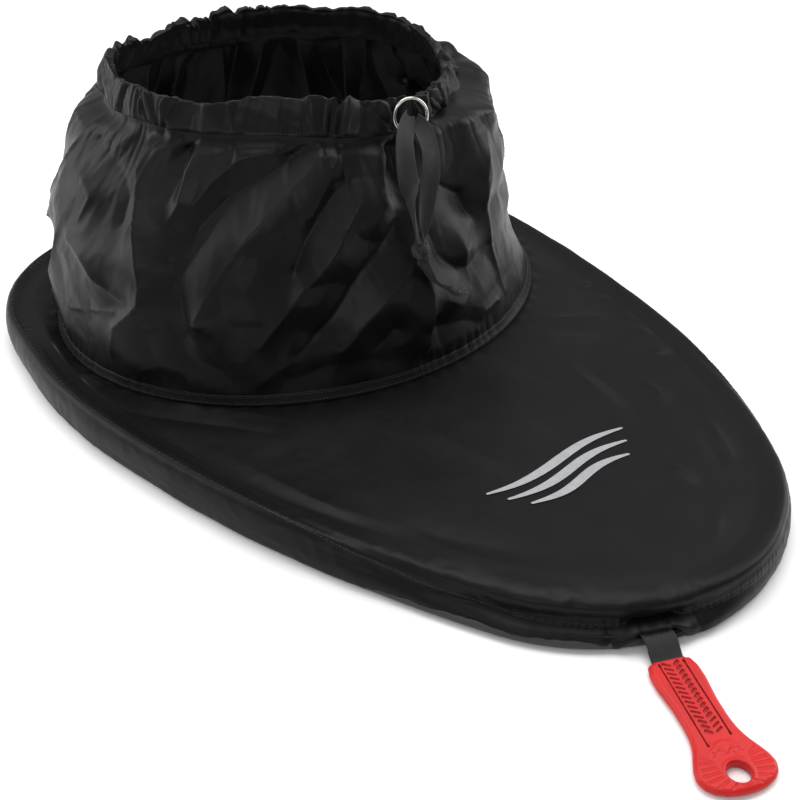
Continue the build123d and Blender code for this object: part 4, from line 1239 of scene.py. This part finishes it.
# -------------------------------------------------------------------- hem
hem_loop = np.array([(1.6, 12.6), (5, 13.2), (10, 13.0), (13.6, 11.4), (15.2, 8), (15.4, 4), (14.2, 1.4), (11.5, .5), (8, .2), (4.6, .9), (2.6, 2.6), (1.6, 6), (1.6, 10)], float)
hp_ = np.linspace(0, len(hem_loop) - 1, 40)
hi, hz = hermite(np.arange(len(hem_loop)), hem_loop[:, 0], hp_), hermite(np.arange(len(hem_loop)), hem_loop[:, 1], hp_)
hph = col_s / 9.5 * np.pi + 1.4 * np.sin(col_s / 41.0)
hg = (np.abs(np.sin(hph)) ** 0.6 - 0.6)
hem_in = smooth(3, 8, hi)[:, None]
inset = hi[:, None] + hem_in * hg[None] * 0.9 - flare[None] * (1 - smooth(4, 13, hi))[:, None]
height = np.repeat(hz[:, None], N, 1) + hem_in * hg[None] * 0.5 * smooth(3, 10, hz)[:, None]
height = np.maximum(height, 0.35)
height = height * (1 - 0.14 * (1 - smooth(13, 24, near_strap)))[None]
hem = np.concatenate([rp[None] - rn[None] * inset[..., None], height[..., None]], axis=2)
hem_ob = grid_piece("rim_hem_sleeve", hem, flip=True)
finish_piece(hem_ob, "skirt", "deck_cloth", "rim_hem_channel")
thicken(hem_ob, 0.4)

# ---------------------------------------------------------- rim stitching
deck_n = normals_of(deck)
deck_n = np.where(deck_n[..., 2:3] < 0, -deck_n, deck_n)
col = np.arange(N, dtype=float)
row = np.full(N, deck.shape[0] - 1 - 3.4)
ob = stitches("deck_edge_stitch_row", sample(deck, row, col), sample(deck_n, row, col), pitch=3.0, seed=50)
finish_piece(ob, "skirt", "thread", "deck_edge_stitching")

band_n = normals_of(band)
band_n = np.where(((band_n[..., :2] * rn[None]).sum(2) < 0)[..., None], -band_n, band_n)
z_at = 15.3
row = np.array([np.interp(z_at, band[:, j, 2], np.arange(band.shape[0])) for j in range(N)])
away = near_strap > 20
idx = np.where(away)[0]
cut = int(np.where(~away)[0][-1]) + 1
order = (np.arange(len(idx)) + np.searchsorted(idx, cut)) % len(idx)
idx = idx[order]
for i, dz in enumerate((0.0, 4.0)):
    rr = row + dz * 46 / 36.0
    a, b = sample(band, rr, col)[idx], sample(band_n, rr, col)[idx]
    if i == 0:
        ob = stitches("side_band_stitch_row_1", a, b, pitch=3.4, closed=False, seed=60)
        finish_piece(ob, "skirt", "thread", "side_band_stitching")

# ----------------------------------------------------------------- eyelet
EY_DEG = math.radians(4.724)
EY_TURN = math.radians(-20.0)
ey_lean = math.radians(12.0)
ey_h = np.array([math.cos(EY_TURN), math.sin(EY_TURN), 0.0])
ey_s = np.array([-math.sin(EY_TURN), math.cos(EY_TURN), 0.0])
ey_n = ey_h * math.cos(ey_lean) + UP * math.sin(ey_lean)
ey_u = UP * math.cos(ey_lean) - ey_h * math.sin(ey_lean)
ey_mid = EYELET_AT


def lathe(name, profile, n=96):
    ph = np.linspace(0, 2 * np.pi, n, endpoint=False)
    rows = []
    for r, x in profile:
        rows.append(ey_mid + ey_n * (x - 170.2) + (np.cos(ph) * r)[:, None] * ey_s + (np.sin(ph) * r)[:, None] * ey_u)
    rows.append(rows[0])
    return grid_piece(name, np.stack(rows))


F = 170.2
ring_prof = [(13.0, 164.4), (13.0, 168.2), (13.15, F + 0.5), (13.6, F + 1.25), (14.3, F + 1.85), (15.0, F + 2.0), (15.7, F + 1.8),
             (16.25, F + 1.3), (16.5, F + 0.7), (16.45, F + 0.25), (16.1, F + 0.05), (15.4, F), (14.6, F), (14.0, F - 0.1), (13.8, F - 1), (13.8, 164.4)]
pr = np.array(ring_prof)
pp = np.linspace(0, len(pr) - 1, 60)
ring_ob = lathe("eyelet_rolled_ring", list(zip(hermite(np.arange(len(pr)), pr[:, 0], pp), hermite(np.arange(len(pr)), pr[:, 1], pp))))
finish_piece(ring_ob, "waist", "nickel", "eyelet_ring")
washer_prof = [(13.9, 164.6), (14.8, 164.6), (14.8, 165.0), (14.4, 165.5), (13.9, 165.5)]
washer_ob = lathe("eyelet_back_washer", washer_prof)
finish_piece(washer_ob, "waist", "nickel", "eyelet_washer")

# ------------------------------------------------------------ webbing strap
h3 = np.array([strap_dir[0], strap_dir[1], 0.0])
s3 = np.array([strap_side[0], strap_side[1], 0.0])
o3 = np.array([strap_at[0], strap_at[1], 0.0])


def web(name, path, width=25.4, thick=2.0, cols=41, ends=True):
    """Flat woven webbing along a path of (outward, up) in the strap's plane, with rolled edges and fine ribs along it."""
    path = np.array(path, float)
    along = np.concatenate([[0], np.cumsum(np.linalg.norm(np.diff(path, axis=0), axis=1))])
    n = max(12, int(along[-1] / 0.6))
    at = np.linspace(0, along[-1], n)
    k = np.arange(len(path))
    fine = np.interp(at, along, k)
    px, pz = hermite(k, path[:, 0], fine), hermite(k, path[:, 1], fine)
    tx, tz = np.gradient(px), np.gradient(pz)
    l = np.hypot(tx, tz)
    nx, nz = -tz / l, tx / l
    q = np.linspace(-1, 1, cols)
    edge = np.sqrt(np.clip(1 - np.clip((np.abs(q) - 0.94) / 0.06, 0, 1) ** 2, 0, 1))
    verts = []
    for sgn in (1, -1):
        rib = 0.10 * np.sin(q * width / 2 / 0.95 * np.pi * 1.0)
        for i in range(n):
            twill = 0.07 * np.sin(at[i] * 3.6 + np.arange(cols) * 1.9)
            hgt = sgn * (thick / 2 * edge + (rib + twill) * edge * 0.8)
            verts.append(o3 + h3 * px[i] + UP * pz[i] + (q * width / 2)[:, None] * s3
                         + hgt[:, None] * (h3 * nx[i] + UP * nz[i]))
    top, low = np.stack(verts[:n]), np.stack(verts[n:])
    v = np.concatenate([top.reshape(-1, 3), low.reshape(-1, 3)])
    f = grid_faces(n, cols, False).tolist() + (grid_faces(n, cols, False, True) + n * cols).tolist()
    for e in (0, n - 1):
        for j in range(cols - 1):
            a, b = e * cols + j, e * cols + j + 1
            quad = (a, b, b + n * cols, a + n * cols)
            f.append(quad[::-1] if e == 0 else quad)
    for i in range(n - 1):
        for j, flip in ((0, False), (cols - 1, True)):
            a, b = i * cols + j, (i + 1) * cols + j
            quad = (a, b, b + n * cols, a + n * cols)
            f.append(quad[::-1] if flip else quad)
    uvs = np.stack([np.tile(q * width / 2, 2 * n), np.repeat(np.tile(at, 2), cols)], 1) * MM
    return make_mesh(name, v, f, uvs)


anchor = web("strap_anchor_web", [(-22.5, 13.1), (-14, 13.1), (-6, 13.1), (-0.6, 13.1)])
finish_piece(anchor, "skirt", "webbing", "strap_anchor_webbing")
strap_ob = web("grab_strap_web", [(-2.5, 13.15), (1.4, 13.1), (5.2, 11.6), (9.4, 8.2), (12.6, 5.7), (14.3, 4.85)])
finish_piece(strap_ob, None, "webbing", "grab_strap")
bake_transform(strap_ob)
# the webbing's moulded-in end starts at the bend in front of the handle
tongue = web("grab_strap_tongue", [(14.3, 4.85), (15.4, 4.58), (17.0, 4.5), (24, 4.5), (32, 4.5), (38.2, 4.5)])
finish_piece(tongue, None, "webbing", "strap_tongue")
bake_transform(tongue)

tack_lines = []
for off in (-9.0, -17.0):
    w = np.linspace(-10.5, 10.5, 60)
    tack_lines.append(o3 + h3 * (off + 0.5 * np.sin(np.arange(60) * np.pi / 1.0 + 0.4))[:, None] + UP * 14.25 + s3 * w[:, None])
for i, l in enumerate(tack_lines):
    ob = stitches(f"strap_bar_tack_{i + 1}", l, np.tile(UP, (60, 1)), pitch=0.8, length=1.9, width=0.5, closed=False, slant=1.3, seed=70 + i)
    finish_piece(ob, "skirt", "thread")
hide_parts("strap_bar_tack")

# ------------------------------------------------------------------ handle
MOUTH = np.array([369.714, -70.074])
PROFILE = [(0, 16.6), (0.7, 16.9), (4, 17.6), (10, 19.2), (20, 19.4), (32, 18.3), (44, 17.3), (56, 17.2), (67, 18.0), (77, 20.5), (86, 24.5), (95, 28.2),
           (101, 29.2), (107, 27.6), (113, 22.5), (117, 14.5)]
HOLE_S, HOLE_R, HT = 104.0, 8.5, 8.0
pk = np.array(PROFILE)


def half_width(s):
    w = hermite(pk[:, 0], pk[:, 1], s)
    tip = 14.5 * np.sqrt(np.clip((119 - s) / 2.0, 0, 1))
    w = np.where(s > 117, tip, w)
    corner = np.where(s < 4, 17.6 - 4.0 * (1 - np.sqrt(np.clip(1 - (1 - s / 4.0) ** 2, 0, 1))), 99)
    return np.minimum(w, corner)


ns, nq = 430, 161
a = np.linspace(0, 1, ns)
hs = 119.0 * np.where(a < 0.78, a / 0.78 * 0.86, 0.86 + 0.14 * np.sin((a - 0.78) / 0.22 * np.pi / 2))
hq = np.sin(np.linspace(-np.pi / 2, np.pi / 2, nq))
hq = 0.62 * hq + 0.38 * np.linspace(-1, 1, nq)
W = half_width(hs)
S_, Q_ = np.meshgrid(hs, hq, indexing="ij")
W_ = np.repeat(W[:, None], nq, 1)
X_ = Q_ * W_
# distance to the outline
os_ = np.concatenate([np.linspace(0, 113, 240), 113 + 6 * np.sin(np.linspace(0, np.pi / 2, 60))])
ow = half_width(os_)
poly = np.concatenate([np.stack([os_, ow], 1), np.stack([os_[::-1], -ow[::-1]], 1)])
pa, pb = poly[:-1], poly[1:]
pts2 = np.stack([S_.ravel(), X_.ravel()], 1)
dist = np.full(len(pts2), 1e9)
for i0 in range(0, len(pts2), 8000):
    q = pts2[i0:i0 + 8000]
    d = (pb - pa)[None]
    w = q[:, None, :] - pa[None]
    t = np.clip((w * d).sum(2) / np.maximum((d * d).sum(2), 1e-9), 0, 1)
    dist[i0:i0 + 8000] = np.linalg.norm(w - t[..., None] * d, axis=2).min(1)
dist = dist.reshape(S_.shape)
hole_d = np.hypot(S_ - HOLE_S, X_)


def round_over(d, r):
    return r - np.sqrt(np.clip(r * r - (r - np.clip(d, 0, r)) ** 2, 0, None))


drop = round_over(dist, 3.9)
drop = np.maximum(drop, round_over(S_ + 0.05, 1.6))
drop = np.maximum(drop, round_over(np.maximum(hole_d - HOLE_R, 0), 1.1))


def bar(s0, w0, s1, w1, wide, sharp=0.45):
    """1 inside a rounded bar between two places on the handle, 0 outside."""
    dx, dy = s1 - s0, w1 - w0
    l2 = dx * dx + dy * dy
    t = np.clip(((S_ - s0) * dx + (X_ - w0) * dy) / l2, 0, 1)
    d = np.hypot(S_ - s0 - t * dx, X_ - w0 - t * dy)
    return 1 - smooth(wide / 2 - sharp / 2, wide / 2 + sharp / 2, d)


# the slits' mask cuts them into the top and also darkens the rubber's colour there as painted shade
slit = np.maximum(bar(4.5, -9.4, 79, -9.9, 1.15, 0.35), bar(4.5, 9.9, 73, 9.9, 1.15, 0.35))
slit = np.maximum(slit, np.maximum(bar(78.2, -9.9, 79.4, -9.9, 1.7, 0.5), np.maximum(bar(3.6, -9.4, 5.2, -9.4, 1.7, 0.5), np.maximum(bar(72.4, 9.9, 73.8, 9.9, 1.7, 0.5), bar(3.6, 9.9, 5.2, 9.9, 1.7, 0.5)))))
# the pockets' mask sinks them into the top and also darkens the rubber's colour there as painted shade
pocket = np.zeros_like(S_)
for i in range(15):
    s = 4.4 + 4.55 * i
    if i < 12:
        pocket = np.maximum(pocket, bar(s - 1.3, -6.6, s + 1.5, -1.9, 1.6))
        pocket = np.maximum(pocket, bar(s + 1.2, 2.2, s - 1.0, 5.2, 2.5))
    else:
        pocket = np.maximum(pocket, bar(s - 1.0, -5.2, s + 1.2, -2.2, 2.5))
        pocket = np.maximum(pocket, bar(s + 1.5, 1.9, s - 1.3, 6.6, 1.6))
# shallow moulded relief round the hole
relief = np.zeros_like(S_)
for s0, w0, s1, w1 in [(80, 1, 88, 11), (84, -3, 92.5, 8), (80, -1, 88, -11), (84, 3, 89, -3.0), (90, -14, 86.5, -20), (93, -13, 91, -22.5),
                       (97, -12.5, 96.5, -24), (101, -12.5, 101.5, -25), (105, -12.5, 107, -24), (109, -11, 112, -19), (113, -6, 115.4, -11),
                       (90, 14, 86.5, 20), (93, 13, 91, 22.5), (97, 12.5, 96.5, 24), (101, 12.5, 101.5, 25), (105, 12.5, 107, 24),
                       (109, 11, 112, 19), (113, 6, 115.4, 11)]:
    relief = np.maximum(relief, bar(s0, w0, s1, w1, 1.7, 1.3))
diamond = np.abs(S_ - 84) / 8.5 + np.abs(X_) / 13.0
panel = (1 - smooth(0.82, 0.95, diamond))
inner = 1 - smooth(0.40, 0.52, diamond)
relief_z = -0.45 * relief + 0.35 * panel - 0.45 * inner
ring_lip = 0.5 * np.exp(-((hole_d - HOLE_R - 1.6) / 1.1) ** 2)
middle = 0.35 * (1 - smooth(8.6, 9.3, np.abs(X_))) * (1 - smooth(76, 80, S_)) * smooth(2, 4, S_)
z_top = HT - 0.5 - drop - 2.2 * slit - 1.5 * pocket + relief_z * smooth(0, 3.5, dist) + ring_lip * smooth(0, 3, dist) - middle
z_top = np.maximum(z_top, 0.2 + 0.5 * (HT - drop - 4.0))
z_low = drop * 1.0 + 0.0
z_mid = (z_top + z_low) / 2
z_low = np.minimum(z_low, z_top - 0.02)

inside = np.zeros((ns, nq), bool)
cell_d = (hole_d[:-1, :-1] + hole_d[1:, :-1] + hole_d[:-1, 1:] + hole_d[1:, 1:]) / 4
gone = cell_d < HOLE_R
touch = np.zeros((ns, nq), int)
for di in (0, 1):
    for dj in (0, 1):
        touch[di:ns - 1 + di, dj:nq - 1 + dj] += gone
edge_v = (touch > 0) & (touch < 4)
dirx, dirw = (S_ - HOLE_S), X_
l = np.maximum(np.hypot(dirx, dirw), 1e-6)
S2 = np.where(edge_v, HOLE_S + dirx / l * HOLE_R, S_)
X2 = np.where(edge_v, dirw / l * HOLE_R, X_)
z_top = np.where(edge_v, HT - 0.5 - 1.1, z_top)
z_low = np.where(edge_v, 1.1, z_low)
base2 = np.concatenate([MOUTH, [0.0]])


def place(s, w, z):
    return base2 + s[..., None] * h3 + w[..., None] * s3 + z[..., None] * UP


top3, low3 = place(S2, X2, z_top), place(S2, X2, z_low)
verts = np.concatenate([top3.reshape(-1, 3), low3.reshape(-1, 3)])
cells = grid_faces(ns, nq, False)
alive_cell = ~gone.ravel()
top_f = cells[alive_cell][:, ::-1]
low_f = cells[alive_cell] + ns * nq
faces = top_f.tolist() + low_f.tolist()
count = {}
for f in cells[alive_cell].tolist():
    for x, y in zip(f, f[1:] + f[:1]):
        if (y, x) in count:
            del count[(y, x)]
        else:
            count[(x, y)] = True
for (x, y) in count:
    faces.append((x, y, y + ns * nq, x + ns * nq))
handle_ob = make_mesh("grab_handle_moulded", verts, faces)
# the pocket and slit masks go on the mesh for the rubber's painted shade in its recesses
for nm, arr in (("pocket", pocket), ("slit", slit)):
    at = handle_ob.data.attributes.new(nm, "FLOAT", "POINT")
    at.data.foreach_set("value", np.concatenate([arr.ravel(), np.zeros(arr.size)]).astype(np.float32))
finish_piece(handle_ob, "grab_handle", "red_rubber", "grab_handle")

# -------------------------------------------------------------- deck print
tree_xy = deck[:, :, :2].reshape(-1, 2)
tree_z = deck[:, :, 2].reshape(-1)


def deck_height(x, y):
    """Height of the deck's cloth over a place on it."""
    q = np.stack([x, y], 1)
    out = np.zeros(len(q))
    pick = np.where((np.abs(tree_xy[:, 0] - x.mean()) < 90) & (np.abs(tree_xy[:, 1] - y.mean()) < 130))[0]
    pts, zz = tree_xy[pick], tree_z[pick]
    for i0 in range(0, len(q), 500):
        d2 = ((q[i0:i0 + 500, None, :] - pts[None]) ** 2).sum(2)
        j = np.argpartition(d2, 6, axis=1)[:, :6]
        w = 1 / (np.take_along_axis(d2, j, 1) + 0.5)
        out[i0:i0 + 500] = (zz[j] * w).sum(1) / w.sum(1)
    return out


verts, faces = [], []
for station, half in ((657, 78.0), (672, 68.0), (687, 56.0)):
    n, m = 150, 9
    y = np.linspace(-half, half, n)
    f = np.linspace(0, 1, n)
    x = station - MID + 4.5 * np.sin(2 * np.pi * f)
    w = 4.5 * (0.25 + 0.75 * np.sin(np.pi * f))
    w[[0, -1]] *= 0.4
    q = np.linspace(-1, 1, m)
    gx, gy = x[:, None] + w[:, None] * q[None], np.repeat(y[:, None], m, 1)
    gz = deck_height(gx.ravel(), gy.ravel()).reshape(gx.shape) + 0.75
    base = len(verts)
    verts += np.stack([gx, gy, gz], 2).reshape(-1, 3).tolist()
    faces += (grid_faces(n, m, False, True) + base).tolist()
va = np.array(verts)
print_ob = make_mesh("deck_wave_print", verts, faces, va[:, :2] * MM)
finish_piece(print_ob, "skirt", "print_film", "deck_print")

# ------------------------------------ drawcord tape inside the waist casing
gap_deg = 6.5
tape_th = np.radians(4.724 + np.linspace(gap_deg, 360 - gap_deg, 720))
tape_q = np.linspace(-8.5, 8.5, 9)
tape_deg = np.degrees(tape_th)
_, tz, tx, ty = casing_point(np.repeat(tape_deg[:, None], 9, 1), 0.5 + np.repeat(tape_q[None], 720, 0) / 33.0, np.full((720, 9), -1.65) + 0.1 * np.sin(tape_th * 40)[:, None])
tape_g = np.stack([tx, ty, tz], 2)
waist_tape = grid_piece("waist_drawcord_tape", tape_g, closed=False, uv=(np.repeat(tape_q[None], 720, 0), np.repeat(np.arange(720)[:, None] * 1.4, 9, 1)))
thicken(waist_tape, 0.7, 0.0)
finish_piece(waist_tape, "waist", "drawcord_tape", "waist_drawcord")

# ------------------------------------------- CAD pieces that stay, repainted
for node, slot in (("rim_shock_cord", "shock_cord"), ("shock_cord_crimp", "nickel")):
    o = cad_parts[node]
    o.data.materials.clear()
    o.data.materials.append(MAT[slot])

# -------------------------------------------------------------------- stage
floor_grid = make_mesh("floor", [(-6000, -6000, -0.6), (6000, -6000, -0.6), (6000, 6000, -0.6), (-6000, 6000, -0.6)], [(0, 1, 2, 3)], shade=False)
fm = Nodes("floor_pale")
fm.link(fm.ramp(fm.noise(2, 2), [(0.3, (0.83, 0.83, 0.83)), (0.7, (0.85, 0.85, 0.85))]), fm.bsdf.inputs["Base Color"])
fm.bsdf.inputs["Roughness"].default_value = 0.9
fm.bsdf.inputs["Specular IOR Level"].default_value = 0.1
floor_grid.data.materials.append(fm.mat)

world = bpy.data.worlds.new("studio")
bpy.context.scene.world = world
world.use_nodes = True
bg = world.node_tree.nodes["Background"]
bg.inputs["Color"].default_value = (1.0, 1.0, 1.0, 1)
bg.inputs["Strength"].default_value = 0.46


def softbox(name, at, look, size, power):
    d = bpy.data.lights.new(name, "AREA")
    d.shape, d.size, d.size_y, d.energy = "RECTANGLE", size[0], size[1], power
    o = bpy.data.objects.new(name, d)
    bpy.context.scene.collection.objects.link(o)
    o.location = at
    aim(o, Vector(look) - Vector(at))
    return o


right = Vector((0.602, 0.7986, 0))
away = Vector((-0.7986, 0.602, 0))
mid = Vector((-0.1, -0.02, 0.1))
softbox("left_box", mid - right * 1.9 + away * 0.3 + Vector((0, 0, 0.9)), mid, (1.2, 1.8), 25)
softbox("right_box", mid + right * 1.8 + away * 0.7 + Vector((0, 0, 1.0)), mid, (1.2, 1.6), 28)
softbox("top_box", mid + away * 0.4 + Vector((0, 0, 2.3)), mid, (2.0, 1.6), 50)
softbox("front_box", mid - away * 2.0 - right * 0.5 + Vector((0, 0, 1.7)), mid, (1.6, 1.2), 14)
